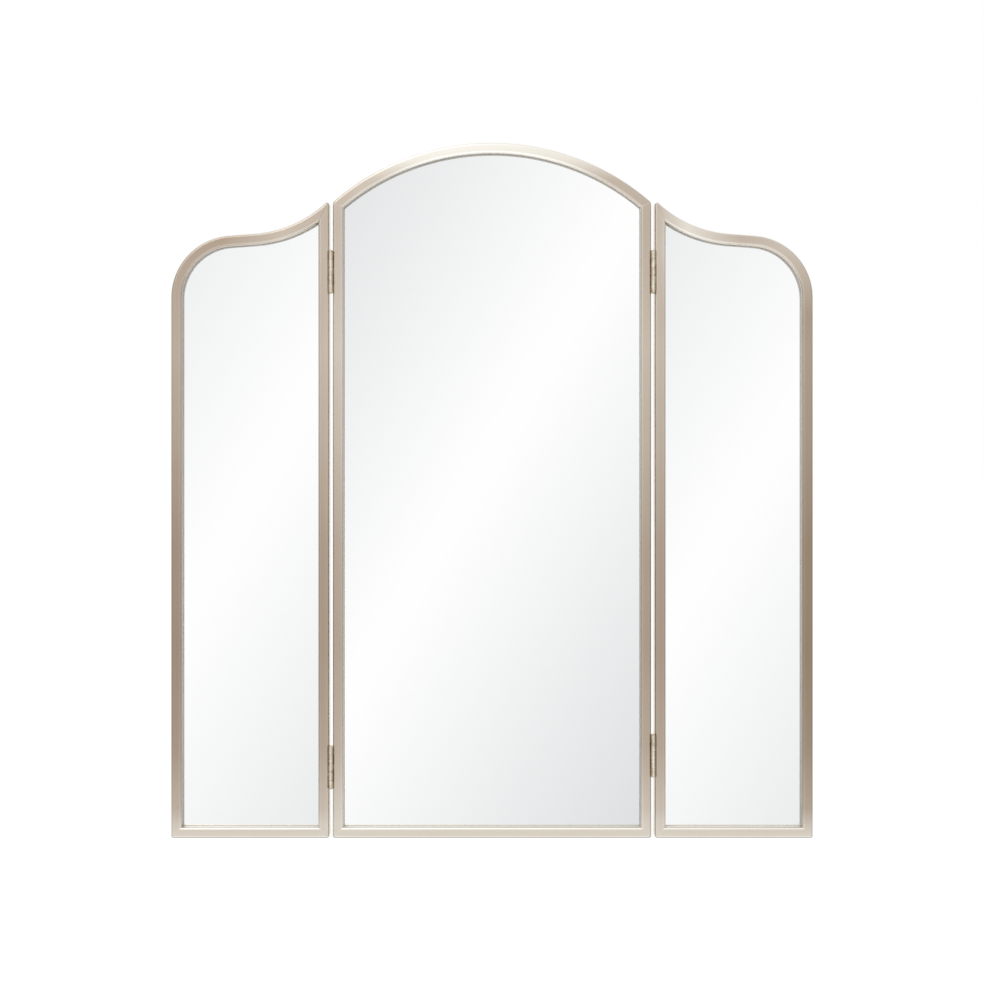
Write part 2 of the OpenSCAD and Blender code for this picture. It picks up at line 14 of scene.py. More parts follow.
import bpy
import numpy as np
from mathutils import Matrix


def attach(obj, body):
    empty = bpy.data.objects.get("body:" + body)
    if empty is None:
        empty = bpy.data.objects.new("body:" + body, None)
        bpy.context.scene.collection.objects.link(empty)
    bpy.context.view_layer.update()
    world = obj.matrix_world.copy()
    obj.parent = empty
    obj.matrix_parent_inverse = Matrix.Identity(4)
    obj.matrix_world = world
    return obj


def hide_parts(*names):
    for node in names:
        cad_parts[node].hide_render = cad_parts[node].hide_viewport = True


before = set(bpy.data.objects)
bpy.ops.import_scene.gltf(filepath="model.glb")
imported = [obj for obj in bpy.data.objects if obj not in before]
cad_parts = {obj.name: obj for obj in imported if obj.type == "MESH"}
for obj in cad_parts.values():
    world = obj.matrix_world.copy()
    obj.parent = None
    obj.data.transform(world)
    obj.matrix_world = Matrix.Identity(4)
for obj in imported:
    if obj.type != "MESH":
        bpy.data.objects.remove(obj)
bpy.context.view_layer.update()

LOG = logging.getLogger("vanity_mirror")
MM = 0.001

# Turn between two faces from which the edge between them stays sharp.
CREASE = math.radians(32.0)

Socket = bpy.types.NodeSocket
Colour = tuple[float, float, float]
Plan = tuple[float, float]
Span = tuple[float, float]
Stops = list[tuple[float, float]]


class Body(Enum):
    """The moving bodies of the frame."""

    CENTRE = "centre_panel"
    LEFT_WING = "left_wing"
    RIGHT_WING = "right_wing"


class Side(Enum):
    """The two sides of the centre panel, by the sign of their place across."""

    LEFT = -1
    RIGHT = 1

    @property
    def wing(self) -> Body:
        """The body of the wing on this side."""
        return Body.LEFT_WING if self is Side.LEFT else Body.RIGHT_WING


class Drive(Enum):
    """What a screwdriver finds in a screw's head."""

    SLOT = "slot"
    CROSS = "cross"


# ---- meshes


@dataclass
class Shape:
    """Points in millimetres, the faces that join them, and a place on the UV map for each point."""

    points: np.ndarray
    faces: list[list[int]]
    uv: np.ndarray | None = None

    def volume(self) -> float:
        """Measures the shape, each face cut in a fan of triangles.

        Returns:
            The signed volume: a sixth of the sum of the triangles' triple products.
        """
        fan = np.array([(f[0], f[i], f[i + 1]) for f in self.faces for i in range(1, len(f) - 1)])
        a, b, c = (self.points[fan[:, i]] for i in range(3))
        return float(np.einsum("ij,ij->i", a, np.cross(b, c)).sum() / 6)

    def outward(self) -> "Shape":
        """Turns every face over if the faces look inwards.

        Returns:
            The shape itself.
        """
        if self.volume() < 0:
            self.faces = [face[::-1] for face in self.faces]
        return self

    def moved(self, turn: np.ndarray, place: np.ndarray) -> "Shape":
        """Gives the shape turned by a matrix and then moved."""
        return Shape(self.points @ turn.T + place, self.faces, self.uv).outward()


def joined(shapes: list[Shape]) -> Shape:
    """Puts several shapes together.

    Args:
        shapes: the shapes.

    Returns:
        One mesh of all their closed shells, without a UV map.
    """
    starts = np.cumsum([0] + [len(shape.points) for shape in shapes]).tolist()
    faces = [[v + start for v in face] for shape, start in zip(shapes, starts)
             for face in shape.faces]
    return Shape(np.vstack([shape.points for shape in shapes]), faces)


def grid_faces(rings: int, around: int) -> list[list[int]]:
    """Lists the quads between neighbouring rings of a closed loop.

    Args:
        rings: number of rings along the path.
        around: number of points on each ring.

    Returns:
        Quads of four indices each, where point j of ring i has index i * around + j.
    """
    i, j = np.meshgrid(np.arange(rings - 1), np.arange(around), indexing="ij")
    low, high = i * around, (i + 1) * around
    k = (j + 1) % around
    return np.stack([low + j, low + k, high + k, high + j], -1).reshape(-1, 4).tolist()


def arc(centre: Plan, radius: float, first: float, last: float, steps: int) -> np.ndarray:
    """Gives points on an arc: its centre plus the radius times cosine and sine of even angles.

    Args:
        centre: centre of the arc.
        radius: its radius.
        first: angle of the first point, in degrees.
        last: angle of the last point, in degrees.
        steps: number of steps between them.

    Returns:
        The points, one a row.
    """
    turn = np.radians(np.linspace(first, last, steps + 1))
    return np.array(centre) + radius * np.stack([np.cos(turn), np.sin(turn)], -1)


def turned(profile: np.ndarray, steps: int) -> Shape:
    """Turns a profile about the upright axis: each point (r, z) goes to (r cos a, r sin a, z).

    Args:
        profile: points (radius, height), the first and the last of them on the axis.
        steps: number of steps in the full turn.

    Returns:
        A closed shape with a pole at either end.
    """
    a = np.linspace(0, 2 * math.pi, steps, endpoint=False)
    r, z = profile[1:-1, 0, None], profile[1:-1, 1, None]
    rings = np.stack([r * np.cos(a), r * np.sin(a), z + 0 * a], -1).reshape(-1, 3)
    low, high = len(rings), len(rings) + 1
    points = np.vstack([rings, [0, 0, profile[0, 1]], [0, 0, profile[-1, 1]]])
    last = (len(profile) - 3) * steps
    faces = grid_faces(len(profile) - 2, steps)
    faces += [[low, (j + 1) % steps, j] for j in range(steps)]
    faces += [[high, last + j, last + (j + 1) % steps] for j in range(steps)]
    return Shape(points, faces).outward()


@dataclass(frozen=True)
class Place:
    """Where a piece goes: its body, its material slot in the record and the node it stands for."""

    body: Body
    slot: str
    node: str


def make_piece(name: str, shape: Shape, material: bpy.types.Material, place: Place) -> None:
    """Makes a piece of a shape, smooth but for its sharp edges, with its object at the origin.

    Args:
        name: name of the piece.
        shape: its points and faces.
        material: its finish.
        place: its body, slot and replaced node.
    """
    mesh = bpy.data.meshes.new(name)
    mesh.from_pydata((shape.points * MM).tolist(), [], shape.faces)
    mesh.polygons.foreach_set("use_smooth", np.ones(len(mesh.polygons), bool))
    mesh.set_sharp_from_angle(angle=CREASE)
    if shape.uv is not None:
        corner = np.empty(len(mesh.loops), np.int32)
        mesh.loops.foreach_get("vertex_index", corner)
        layer = mesh.uv_layers.new(name="along")
        layer.data.foreach_set("uv", (shape.uv[corner] * MM).ravel())
    mesh.materials.append(material)
    mesh.validate()
    mesh.update()
    piece = bpy.data.objects.new(name, mesh)
    bpy.context.scene.collection.objects.link(piece)
    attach(piece, place.body.value)
    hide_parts(place.node)
    LOG.info("%s: %d faces on %s", name, len(mesh.polygons), place.body.value)


def dress(node: str, material: bpy.types.Material) -> None:
    """Gives a node of the frame its material.

    Args:
        node: the node's name.
        material: its finish.
    """
    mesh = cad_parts[node].data
    mesh.materials.clear()
    mesh.materials.append(material)
    LOG.info("%s keeps its solid, in %s", node, material.name)


# ---- the bar's section


@dataclass(frozen=True)
class BarSection:
    """Section of the frame bar, by inset from the outer edge and depth behind the face.

    Hold is how far past a rounded edge a point keeps the flat beside it flat, and the key screws'
    heads stand proud of the rear flange by screw_proud.
    """

    face: float = 12.7
    depth: float = 24.0
    edge: float = 3.0
    rear: float = 1.0
    web: float = 2.0
    wall: float = 3.0
    lip: float = 2.0
    lip_depth: float = 12.0
    flange: float = 5.0
    flange_t: float = 1.0
    key_gap: float = 2.0
    hold: float = 0.35
    screw_proud: float = 0.12
    edge_steps: int = 12
    rear_steps: int = 6

    def loop(self) -> np.ndarray:
        """Gives the closed section: two rounded front edges, the lip, the channel and the flange.

        Returns:
            Points (inset, depth), the first one at the back of the outer wall and the second at
            its front.
        """
        back = self.depth - self.screw_proud
        key = self.depth - self.flange_t - self.key_gap
        end = self.wall + self.flange
        hold, turn = self.edge + self.hold, self.face - self.edge
        return np.vstack([
            [[0, back - self.rear], [0, hold]],
            arc((self.edge, self.edge), self.edge, 180, 270, self.edge_steps),
            [[hold, 0], [turn - self.hold, 0]],
            arc((turn, self.edge), self.edge, 270, 360, self.edge_steps),
            [[self.face, hold], [self.face, self.lip_depth]],
            [[self.face - self.lip, self.lip_depth], [self.face - self.lip, self.web]],
            [[self.wall, self.web], [self.wall, key - self.flange_t], [end, key - self.flange_t]],
            [[end, key], [self.wall, key]],
            [[self.wall, key + self.key_gap], [end, key + self.key_gap], [end, back]],
            arc((self.rear, back - self.rear), self.rear, 90, 180, self.rear_steps)[:-1],
        ])

    def shrunk(self, loop: np.ndarray, by: float) -> np.ndarray:
        """Draws the section in: each point moves against the mean of its two sides' normals.

        Args:
            loop: the section.
            by: how far.

        Returns:
            The smaller section.
        """
        side = np.roll(loop, -1, 0) - loop
        length = np.linalg.norm(side, axis=1, keepdims=True)
        normal = np.stack([side[:, 1], -side[:, 0]], -1) / length
        mean = normal + np.roll(normal, 1, 0)
        return loop - by * mean / np.maximum(np.linalg.norm(mean, axis=1, keepdims=True), 0.3)


SECTION = BarSection()

# Place of the front of the frame's face, from front to back.
FRONT = -10.225

# Middle of the key channel, from a bar's outer edge.
KEY_MID = SECTION.wall + SECTION.flange / 2


# ---- shader tools


class Nodes:
    """A short way to add and join the nodes of one tree."""

    def __init__(self, tree: bpy.types.NodeTree) -> None:
        """Keeps the tree and empties it."""
        self.tree = tree
        tree.nodes.clear()

    def fill(self, node: bpy.types.Node, **inputs: object) -> bpy.types.Node:
        """Fills the sockets and options of a node.

        Args:
            node: the node.
            inputs: a value or a socket for each input, by its name with _ for spaces, or by in_ and
                its number. A name that no input has is an option of the node.

        Returns:
            The same node.
        """
        for name, value in inputs.items():
            label = name.replace("_", " ")
            if name.startswith("in_"):
                socket = node.inputs[int(name[3:])]
            elif label in node.inputs:
                socket = node.inputs[label]
            else:
                setattr(node, name, value)
                continue
            if isinstance(value, Socket):
                self.tree.links.new(value, socket)
            else:
                socket.default_value = value
        return node

    def add(self, kind: str, **inputs: object) -> bpy.types.Node:
        """Adds a node of a kind and fills it."""
        return self.fill(self.tree.nodes.new(kind), **inputs)

    def group(self, tree: bpy.types.NodeTree, **inputs: object) -> bpy.types.NodeOutputs:
        """Places a node group with its own values and gives its outputs."""
        return self.add("ShaderNodeGroup", node_tree=tree, **inputs).outputs

    def maths(self, operation: str, *values: object) -> Socket:
        """Adds a Math node on the given values and gives its result."""
        inputs = {f"in_{i}": value for i, value in enumerate(values)}
        return self.add("ShaderNodeMath", operation=operation, **inputs).outputs[0]

    def slope(self, value: Socket, low: object, high: float, first: float = 0.0,
              last: float = 1.0) -> Socket:
        """Turns a value into a level that runs evenly between two ends and stays put beyond them.

        Args:
            value: the value.
            low: the value at which the level is the first one.
            high: the value at which it is the last one. It may lie below the other.
            first: the first level.
            last: the last level.

        Returns:
            The level.
        """
        node = self.add("ShaderNodeMapRange", Value=value, From_Min=low, From_Max=high,
                        To_Min=first, To_Max=last)
        return node.outputs[0]

    def band(self, value: Socket, rise: Span, fall: Span) -> Socket:
        """Marks a band of a value.

        Args:
            value: the value.
            rise: where the mark goes from zero to one.
            fall: where it goes back to zero.

        Returns:
            The mark.
        """
        return self.maths("MULTIPLY", self.slope(value, *rise), self.slope(value, fall[1], fall[0]))

    def ramp(self, factor: Socket, stops: list[tuple[float, Colour]]) -> Socket:
        """Adds a colour ramp that is straight between its stops.

        Args:
            factor: what drives it.
            stops: place and colour of each stop.

        Returns:
            Its colour.
        """
        node = self.add("ShaderNodeValToRGB", in_0=factor)
        node.color_ramp.interpolation = "LINEAR"
        elements = node.color_ramp.elements
        while len(elements) < len(stops):
            elements.new(0.5)
        for element, (place, colour) in zip(elements, stops):
            element.position = place
            element.color = (*colour, 1.0)
        return node.outputs[0]

    def curve(self, factor: Socket, stops: Stops) -> Socket:
        """Gives a grey level that follows a list of stops."""
        return self.ramp(factor, [(place, (level, level, level)) for place, level in stops])

    def mix(self, share: Socket, first: object, second: object, blend: str = "MIX") -> Socket:
        """Mixes two colours.

        Args:
            share: share of the second colour.
            first: the first colour.
            second: the second colour.
            blend: how the second one is laid over the first one.

        Returns:
            The mixed colour.
        """
        node = self.add("ShaderNodeMix", data_type="RGBA", blend_type=blend,
                        in_0=share, in_6=first, in_7=second)
        return node.outputs[2]

    def scaled(self, colour: Socket, by: Socket) -> Socket:
        """Gives a colour times a level."""
        return self.add("ShaderNodeVectorMath", operation="SCALE", in_0=colour, Scale=by).outputs[0]

    def bump(self, height: Socket, strength: float, distance: float) -> Socket:
        """Gives the normal of a surface with a height on it."""
        return self.add("ShaderNodeBump", Strength=strength, Distance=distance,
                        Height=height).outputs[0]


def shade(red: int, green: int, blue: int) -> Colour:
    """Gives the linear colour of an sRGB colour written in steps of 255."""
    c = np.array([red, green, blue]) / 255
    return tuple(float(v) for v in np.where(c <= 0.04045, c / 12.92, ((c + 0.055) / 1.055) ** 2.4))


def new_group(name: str, inputs: dict[str, object], output: tuple[str, ...]) -> Nodes:
    """Starts a shader node group whose outputs are all plain numbers.

    Args:
        name: the group's name.
        inputs: default value of each input, three numbers for a vector and one for a number.
        output: name of each output.

    Returns:
        The group's nodes, without its input and output nodes.
    """
    tree = bpy.data.node_groups.new(name, "ShaderNodeTree")
    for label, value in inputs.items():
        kind = "NodeSocketVector" if isinstance(value, tuple) else "NodeSocketFloat"
        tree.interface.new_socket(label, in_out="INPUT", socket_type=kind).default_value = value
    for label in output:
        tree.interface.new_socket(label, in_out="OUTPUT", socket_type="NodeSocketFloat")
    return Nodes(tree)


def brushing_group() -> bpy.types.NodeTree:
    """Builds the brushing of a metal: fine streaks and slow clouds.

    Returns:
        The group. Each output is noise at the place times its own scale, about one half.
    """
    inputs = {"Vector": (0, 0, 0), "Streak": (30, 6000, 6000), "Cloud": (9, 60, 60)}
    nodes = new_group("brushing", inputs, ("Streaks", "Clouds"))
    start = nodes.add("NodeGroupInput").outputs
    end = nodes.add("NodeGroupOutput")
    for scale, detail, label in (("Streak", 4.0, "Streaks"), ("Cloud", 2.0, "Clouds")):
        spread = nodes.add("ShaderNodeVectorMath", operation="MULTIPLY",
                           in_0=start["Vector"], in_1=start[scale])
        noise = nodes.add("ShaderNodeTexNoise", Vector=spread.outputs[0], Scale=1.0,
                          Detail=detail, Roughness=0.6)
        nodes.fill(end, **{label: noise.outputs["Fac"]})
    return nodes.tree


def dust_group() -> bpy.types.NodeTree:
    """Builds a thin, uneven film of dust.

    Returns:
        The group. Its film is one where the dust lies and zero where the surface is clean, and a
        larger share lets it in at lower values of the noise.
    """
    nodes = new_group("dust", {"Vector": (0, 0, 0), "Size": 60.0, "Share": 0.4}, ("Film",))
    start = nodes.add("NodeGroupInput").outputs
    noise = nodes.add("ShaderNodeTexNoise", Vector=start["Vector"], Scale=start["Size"],
                      Detail=6.0, Roughness=0.7)
    clean = nodes.maths("SUBTRACT", 0.75, start["Share"])
    nodes.add("NodeGroupOutput", Film=nodes.slope(noise.outputs["Fac"], clean, 0.85))
    return nodes.tree


def painted_sheen_group() -> bpy.types.NodeTree:
    """Builds the painted sheen of a mirror: a soft diagonal painted reflection.

    Returns:
        The group. Its level is full on a slanting line and falls with the distance from the line,
        as a share of its reach.
    """
    inputs = {"Vector": (0, 0, 0), "Slant": 1.7, "Offset": 0.0, "Reach": 0.65}
    nodes = new_group("painted_sheen", inputs, ("Level",))
    start = nodes.add("NodeGroupInput").outputs
    place = nodes.add("ShaderNodeSeparateXYZ", Vector=start["Vector"]).outputs
    across = nodes.maths("MULTIPLY", place["X"], start["Slant"])
    gap = nodes.maths("ADD", nodes.maths("SUBTRACT", across, place["Z"]), start["Offset"])
    share = nodes.maths("DIVIDE", nodes.maths("ABSOLUTE", gap), start["Reach"])
    nodes.add("NodeGroupOutput", Level=nodes.slope(share, 0.04, 1.25, 1.0, 0.0))
    return nodes.tree


# Painted reflection: the slow change of light and shade that the bar's face mirrors over the whole
# mirror, painted into the metal's colour. The first curve runs over the height and gives the level.
# The other two run over the width, and what they give less one half is added.
PAINTED_REFLECTION_HEIGHT: Span = (0.0, 0.83)
PAINTED_REFLECTION_WIDTH: Span = (-0.4, 0.4)
PAINTED_REFLECTION_BY_HEIGHT: Stops = [
    (0.0, 0.63), (0.02, 0.67), (0.06, 0.61), (0.13, 0.44), (0.27, 0.35), (0.42, 0.38), (0.56, 0.52),
    (0.70, 0.60), (0.88, 0.50), (0.94, 0.53), (0.97, 0.86), (1.0, 0.97),
]
PAINTED_REFLECTION_BY_WIDTH: Stops = [
    (0.02, 0.25), (0.2, 0.28), (0.245, 0.33), (0.268, 0.45), (0.3, 0.5), (0.72, 0.40), (0.76, 0.36),
    (0.98, 0.15),
]
PAINTED_REFLECTION_BY_WIDTH_ABOVE: Stops = [
    (0.02, 0.24), (0.1, 0.24), (0.19, 0.48), (0.25, 0.41), (0.3, 0.5), (0.73, 0.39), (0.79, 0.74),
    (0.87, 0.44), (0.95, 0.52),
]

# Heights over which the last curve takes the other one's place, and over which both fade in.
PAINTED_REFLECTION_SHOULDER: Span = (0.62, 0.70)
PAINTED_REFLECTION_FOOT: Span = (0.004, 0.035)


def painted_reflection_group() -> bpy.types.NodeTree:
    """Builds the painted reflection on the metal: its slow change of light and shade.

    Returns:
        The group. Its level goes from zero to one, and is the curve over the height plus the curve
        over the width for that height.
    """
    nodes = new_group("painted_reflection", {"Vector": (0, 0, 0)}, ("Level",))
    start = nodes.add("NodeGroupInput").outputs
    place = nodes.add("ShaderNodeSeparateXYZ", Vector=start["Vector"]).outputs
    high = nodes.slope(place["Z"], *PAINTED_REFLECTION_HEIGHT)
    wide = nodes.slope(place["X"], *PAINTED_REFLECTION_WIDTH)
    above = nodes.slope(place["Z"], *PAINTED_REFLECTION_SHOULDER)
    side = nodes.add("ShaderNodeMix", data_type="FLOAT", in_0=above,
                     in_2=nodes.curve(wide, PAINTED_REFLECTION_BY_WIDTH),
                     in_3=nodes.curve(wide, PAINTED_REFLECTION_BY_WIDTH_ABOVE))
    clear = nodes.slope(place["Z"], *PAINTED_REFLECTION_FOOT)
    added = nodes.maths("SUBTRACT", side.outputs[0], 0.5)
    level = nodes.curve(high, PAINTED_REFLECTION_BY_HEIGHT)
    nodes.add("NodeGroupOutput", Level=nodes.maths("MULTIPLY_ADD", added, clear, level))
    return nodes.tree


BRUSHING = brushing_group()
PAINTED_REFLECTION = painted_reflection_group()
DUST = dust_group()
PAINTED_SHEEN = painted_sheen_group()

# Colours of the champagne metal for its painted reflection, from where it mirrors the dark to where
# it mirrors the light.
CHAMPAGNE = [
    (0.0, shade(149, 131, 112)),
    (0.25, shade(173, 156, 139)),
    (0.5, shade(199, 187, 173)),
    (0.75, shade(228, 221, 210)),
    (1.0, shade(255, 253, 246)),
]


# ---- finishes


@dataclass(frozen=True)
class Finish:
    """What every finish has: its name, its roughness and how metallic it is.

    In the finishes, a swing is how far the roughness goes up and down in all, a relief is the
    strength and height of a bump, and dust has the size and the share of its film.
    """

    name: str
    roughness: float
    metallic: float

    def start(self) -> tuple[bpy.types.Material, Nodes, bpy.types.Node]:
        """Starts a material.

        Returns:
            The material, its nodes and its Principled shader.
        """
        material = bpy.data.materials.new(self.name)
        material.use_nodes = True
        nodes = Nodes(material.node_tree)
        shader = nodes.add("ShaderNodeBsdfPrincipled", Roughness=self.roughness,
                           Metallic=self.metallic)
        nodes.add("ShaderNodeOutputMaterial", Surface=shader.outputs[0])
        return material, nodes, shader

    def uneven(self, nodes: Nodes, level: Socket, swing: float) -> Socket:
        """Gives a roughness that swings about its mean with a level about one half."""
        return nodes.maths("MULTIPLY_ADD", level, swing, self.roughness - swing / 2)


@dataclass(frozen=True)
class BrushedBar(Finish):
    """Champagne metal brushed along the bar, with a little dust and a painted highlight on what
    faces up.

    The face takes the painted reflection of the whole mirror, and the roundings beside it the same
    painted reflection lighter by a painted highlight. The walls are the plain metal, and the recess
    before the glass has painted shade. A span runs round the section, in metres from where the
    outer wall turns into the rounded edge. A crease is the fine line of painted shade at the foot
    of the lip's inner wall, and the rim is the outer rounding, which has painted shade where it
    slopes partly up.
    """

    streaks: float = 0.06
    clouds: float = 0.06
    swing: float = 0.14
    relief: Span = (0.06, 0.0002)
    plain_dark: Colour = shade(230, 218, 200)
    plain_light: Colour = shade(248, 239, 224)
    outer_turn: Span = (0.0032, 0.0050)
    inner_turn: Span = (0.0114, 0.0134)
    # Painted highlight: how much lighter the roundings are than the face's painted reflection.
    painted_edge_highlight: float = 0.2
    outer_wall: Span = (0.0, 0.0022)
    inner_wall: Span = (0.0150, 0.0164)
    # Painted shade in the recess before the glass: where it falls, where it ends, and its level.
    recess: Span = (0.0168, 0.0184)
    recess_end: float = 0.0272
    recess_painted_shade: float = 0.46
    # Painted light on the ledge where it faces up, which lifts the recess's painted shade.
    ledge: Span = (0.0146, 0.0166)
    ledge_slope: Span = (0.35, 0.95)
    ledge_painted_light: float = 0.95
    # Dust and painted highlight: the light colour laid on what faces up.
    dust: Colour = shade(238, 234, 226)
    dust_size: float = 140.0
    dust_share: float = 0.55
    dust_least: float = 0.5
    dust_more: float = 0.4
    dust_rough: float = 0.15
    # Painted shade: a fine dark line along the crease, and a darker rim where it slopes partly up.
    crease: tuple[Span, Span] = ((0.0134, 0.0152), (0.0159, 0.0166))
    crease_shade: float = 0.05
    crease_shade_up: float = 0.38
    rim: Span = (0.0052, 0.0036)
    rim_slope: tuple[Span, Span] = ((0.0, 0.2), (0.45, 0.95))
    rim_shade: float = 0.34

    def build(self) -> bpy.types.Material:
        """Builds the material.

        Returns:
            The material, for bars whose UV is the way along them and the way round their section.
        """
        material, nodes, shader = self.start()
        uv = nodes.add("ShaderNodeUVMap", uv_map="along").outputs[0]
        place = nodes.add("ShaderNodeTexCoord").outputs["Object"]
        normal = nodes.add("ShaderNodeNewGeometry").outputs["Normal"]
        around = nodes.add("ShaderNodeSeparateXYZ", Vector=uv).outputs["Y"]
        up = nodes.add("ShaderNodeSeparateXYZ", Vector=normal).outputs["Z"]
        grain = nodes.group(BRUSHING, Vector=uv)
        faces_up = nodes.slope(up, *self.ledge_slope)
        # Dust and a painted highlight on what faces up.
        lies = self.lies(nodes, around, faces_up)
        film = nodes.group(DUST, Vector=place, Size=self.dust_size, Share=self.dust_share)["Film"]
        cover = nodes.maths("MULTIPLY_ADD", film, self.dust_more, self.dust_least)
        dust = nodes.maths("MULTIPLY", lies, cover)
        metal = self.metal(nodes, around, place, grain)
        # Painted shade in the recess before the glass.
        metal = nodes.scaled(metal, self.depth(nodes, around, lies))
        colour = nodes.mix(dust, metal, (*self.dust, 1.0))
        # Painted shade along the crease and the rim.
        colour = nodes.scaled(colour, self.lines(nodes, around, up, faces_up))
        rough = self.uneven(nodes, grain["Streaks"], self.swing)
        rough = nodes.maths("MULTIPLY_ADD", dust, self.dust_rough, rough)
        nodes.fill(shader, Base_Color=colour, Roughness=rough,
                   Normal=nodes.bump(grain["Streaks"], *self.relief))
        return material

    def metal(self, nodes: Nodes, around: Socket, place: Socket,
              grain: bpy.types.NodeOutputs) -> Socket:
        """Gives the metal's colour, with a painted reflection on the face and a painted highlight
        on its roundings.

        Args:
            nodes: the material's nodes.
            around: the way round the section.
            place: the place on the object.
            grain: the brushing.

        Returns:
            The colour of the painted reflection on the face and, lighter by a painted highlight, on
            its roundings, and of plain metal elsewhere.
        """
        streak, cloud = (
            nodes.maths("MULTIPLY", nodes.maths("SUBTRACT", grain[name], 0.5), swing)
            for name, swing in (("Streaks", self.streaks), ("Clouds", self.clouds))
        )
        # Painted highlight on the roundings beside the face.
        flat = nodes.band(around, self.outer_turn, self.inner_turn)
        edge_highlight = nodes.maths("MULTIPLY_ADD", flat, -self.painted_edge_highlight, self.painted_edge_highlight)
        # Painted reflection on the face.
        level = nodes.group(PAINTED_REFLECTION, Vector=place)["Level"]
        level = nodes.maths("ADD", level, nodes.maths("ADD", streak, cloud))
        painted_reflection_colour = nodes.ramp(nodes.maths("ADD", level, edge_highlight), CHAMPAGNE)
        half = nodes.maths("MULTIPLY", grain["Streaks"], 0.5)
        grey = nodes.maths("MULTIPLY_ADD", grain["Clouds"], 0.5, half)
        plain = nodes.ramp(grey, [(0.35, self.plain_dark), (0.65, self.plain_light)])
        return nodes.mix(nodes.band(around, self.outer_wall, self.inner_wall), plain, painted_reflection_colour)

    def lies(self, nodes: Nodes, around: Socket, faces_up: Socket) -> Socket:
        """Marks where dust lies and a painted highlight falls.

        Args:
            nodes: the material's nodes.
            around: the way round the section.
            faces_up: one where the surface faces up.

        Returns:
            The mark, on the outer edge and on the ledge before the glass where they face up.
        """
        outer = nodes.maths("LESS_THAN", around, SECTION.face * MM / 2)
        open_up = nodes.maths("MAXIMUM", nodes.slope(around, *self.ledge), outer)
        return nodes.maths("MULTIPLY", faces_up, open_up)

    def depth(self, nodes: Nodes, around: Socket, lies: Socket) -> Socket:
        """Gives what the recess before the glass leaves of the light.

        Args:
            nodes: the material's nodes.
            around: the way round the section.
            lies: one where dust can lie, which the light from above reaches.

        Returns:
            The level that the metal's colour is multiplied by.
        """
        # Painted shade, lifted by painted light where the ledge faces up.
        painted_shade = nodes.slope(around, *self.recess, 1.0, self.recess_painted_shade)
        painted_shade = nodes.maths("MAXIMUM", painted_shade, nodes.maths("GREATER_THAN", around, self.recess_end))
        return nodes.maths("MAXIMUM", painted_shade, nodes.maths("MULTIPLY", lies, self.ledge_painted_light))

    def lines(self, nodes: Nodes, around: Socket, up: Socket, faces_up: Socket) -> Socket:
        """Gives what the crease and the rim leave of the light, less where they face up.

        Args:
            nodes: the material's nodes.
            around: the way round the section.
            up: the upright part of the surface's normal.
            faces_up: one where the surface faces up.

        Returns:
            The level that the whole colour is multiplied by.
        """
        loss = nodes.maths("MULTIPLY_ADD", faces_up, self.crease_shade_up, self.crease_shade)
        crease = nodes.maths("MULTIPLY", nodes.band(around, *self.crease), loss)
        slope = nodes.band(up, *self.rim_slope)
        rim = nodes.maths("MULTIPLY", nodes.slope(around, *self.rim), slope)
        left = nodes.maths("SUBTRACT", 1.0, crease)
        return nodes.maths("SUBTRACT", left, nodes.maths("MULTIPLY", rim, self.rim_shade))


@dataclass(frozen=True)
class SolidMetal(Finish):
    """Plated or bare steel with fine brushing across its own axes."""

    light: Colour
    dark: Colour
    streak: tuple[int, int, int] = (1500, 1500, 60)
    cloud: tuple[int, int, int] = (140, 140, 140)
    streaks: float = 0.4
    clouds: float = 0.8
    swing: float = 0.16
    relief: Span = (0.05, 0.0002)

    def with_painted_shade(self, nodes: Nodes, place: Socket, level: Socket) -> Socket:
        """Gives the level with its painted shade. Plain metal has none and keeps its own."""
        return level

    def build(self) -> bpy.types.Material:
        """Builds the material.

        Returns:
            The material.
        """
        material, nodes, shader = self.start()
        place = nodes.add("ShaderNodeTexCoord").outputs["Object"]
        grain = nodes.group(BRUSHING, Vector=place, Streak=self.streak, Cloud=self.cloud)
        fine = nodes.maths("MULTIPLY", grain["Streaks"], self.streaks)
        level = nodes.maths("MULTIPLY_ADD", grain["Clouds"], self.clouds, fine)
        level = self.with_painted_shade(nodes, place, level)
        nodes.fill(shader, Base_Color=nodes.ramp(level, [(0.25, self.dark), (0.75, self.light)]),
                   Roughness=self.uneven(nodes, grain["Streaks"], self.swing),
                   Normal=nodes.bump(grain["Streaks"], *self.relief))
        return material


@dataclass(frozen=True)
class HingeMetal(SolidMetal):
    """Polished hinge metal whose barrel has painted shade on its flanks, where it turns into the
    gap.

    A flank's painted shade begins and is full at two distances from a pin's axis, and only before
    the leaves.
    """

    axis_x: float = 0.19125
    shaded_flank: Span = (0.0009, 0.0017)
    front_y: Span = (-0.0084, -0.0088)
    # Painted shade: how much darker the barrel's flanks are.
    loss: float = 0.12

    def with_painted_shade(self, nodes: Nodes, place: Socket, level: Socket) -> Socket:
        """Paints shade on the barrel by its distance, across, from the nearer pin's axis.

        Args:
            nodes: the material's nodes.
            place: the place on the object.
            level: the level of the metal without painted shade.

        Returns:
            The level, less by the loss on the flanks before the leaves, as painted shade.
        """
        at = nodes.add("ShaderNodeSeparateXYZ", Vector=place).outputs
        away = nodes.maths("SUBTRACT", nodes.maths("ABSOLUTE", at["X"]), self.axis_x)
        side = nodes.slope(nodes.maths("ABSOLUTE", away), *self.shaded_flank)
        both = nodes.maths("MULTIPLY", side, nodes.slope(at["Y"], *self.front_y))
        # Painted shade on the barrel's flanks before the leaves.
        return nodes.maths("MULTIPLY_ADD", both, -self.loss, level)


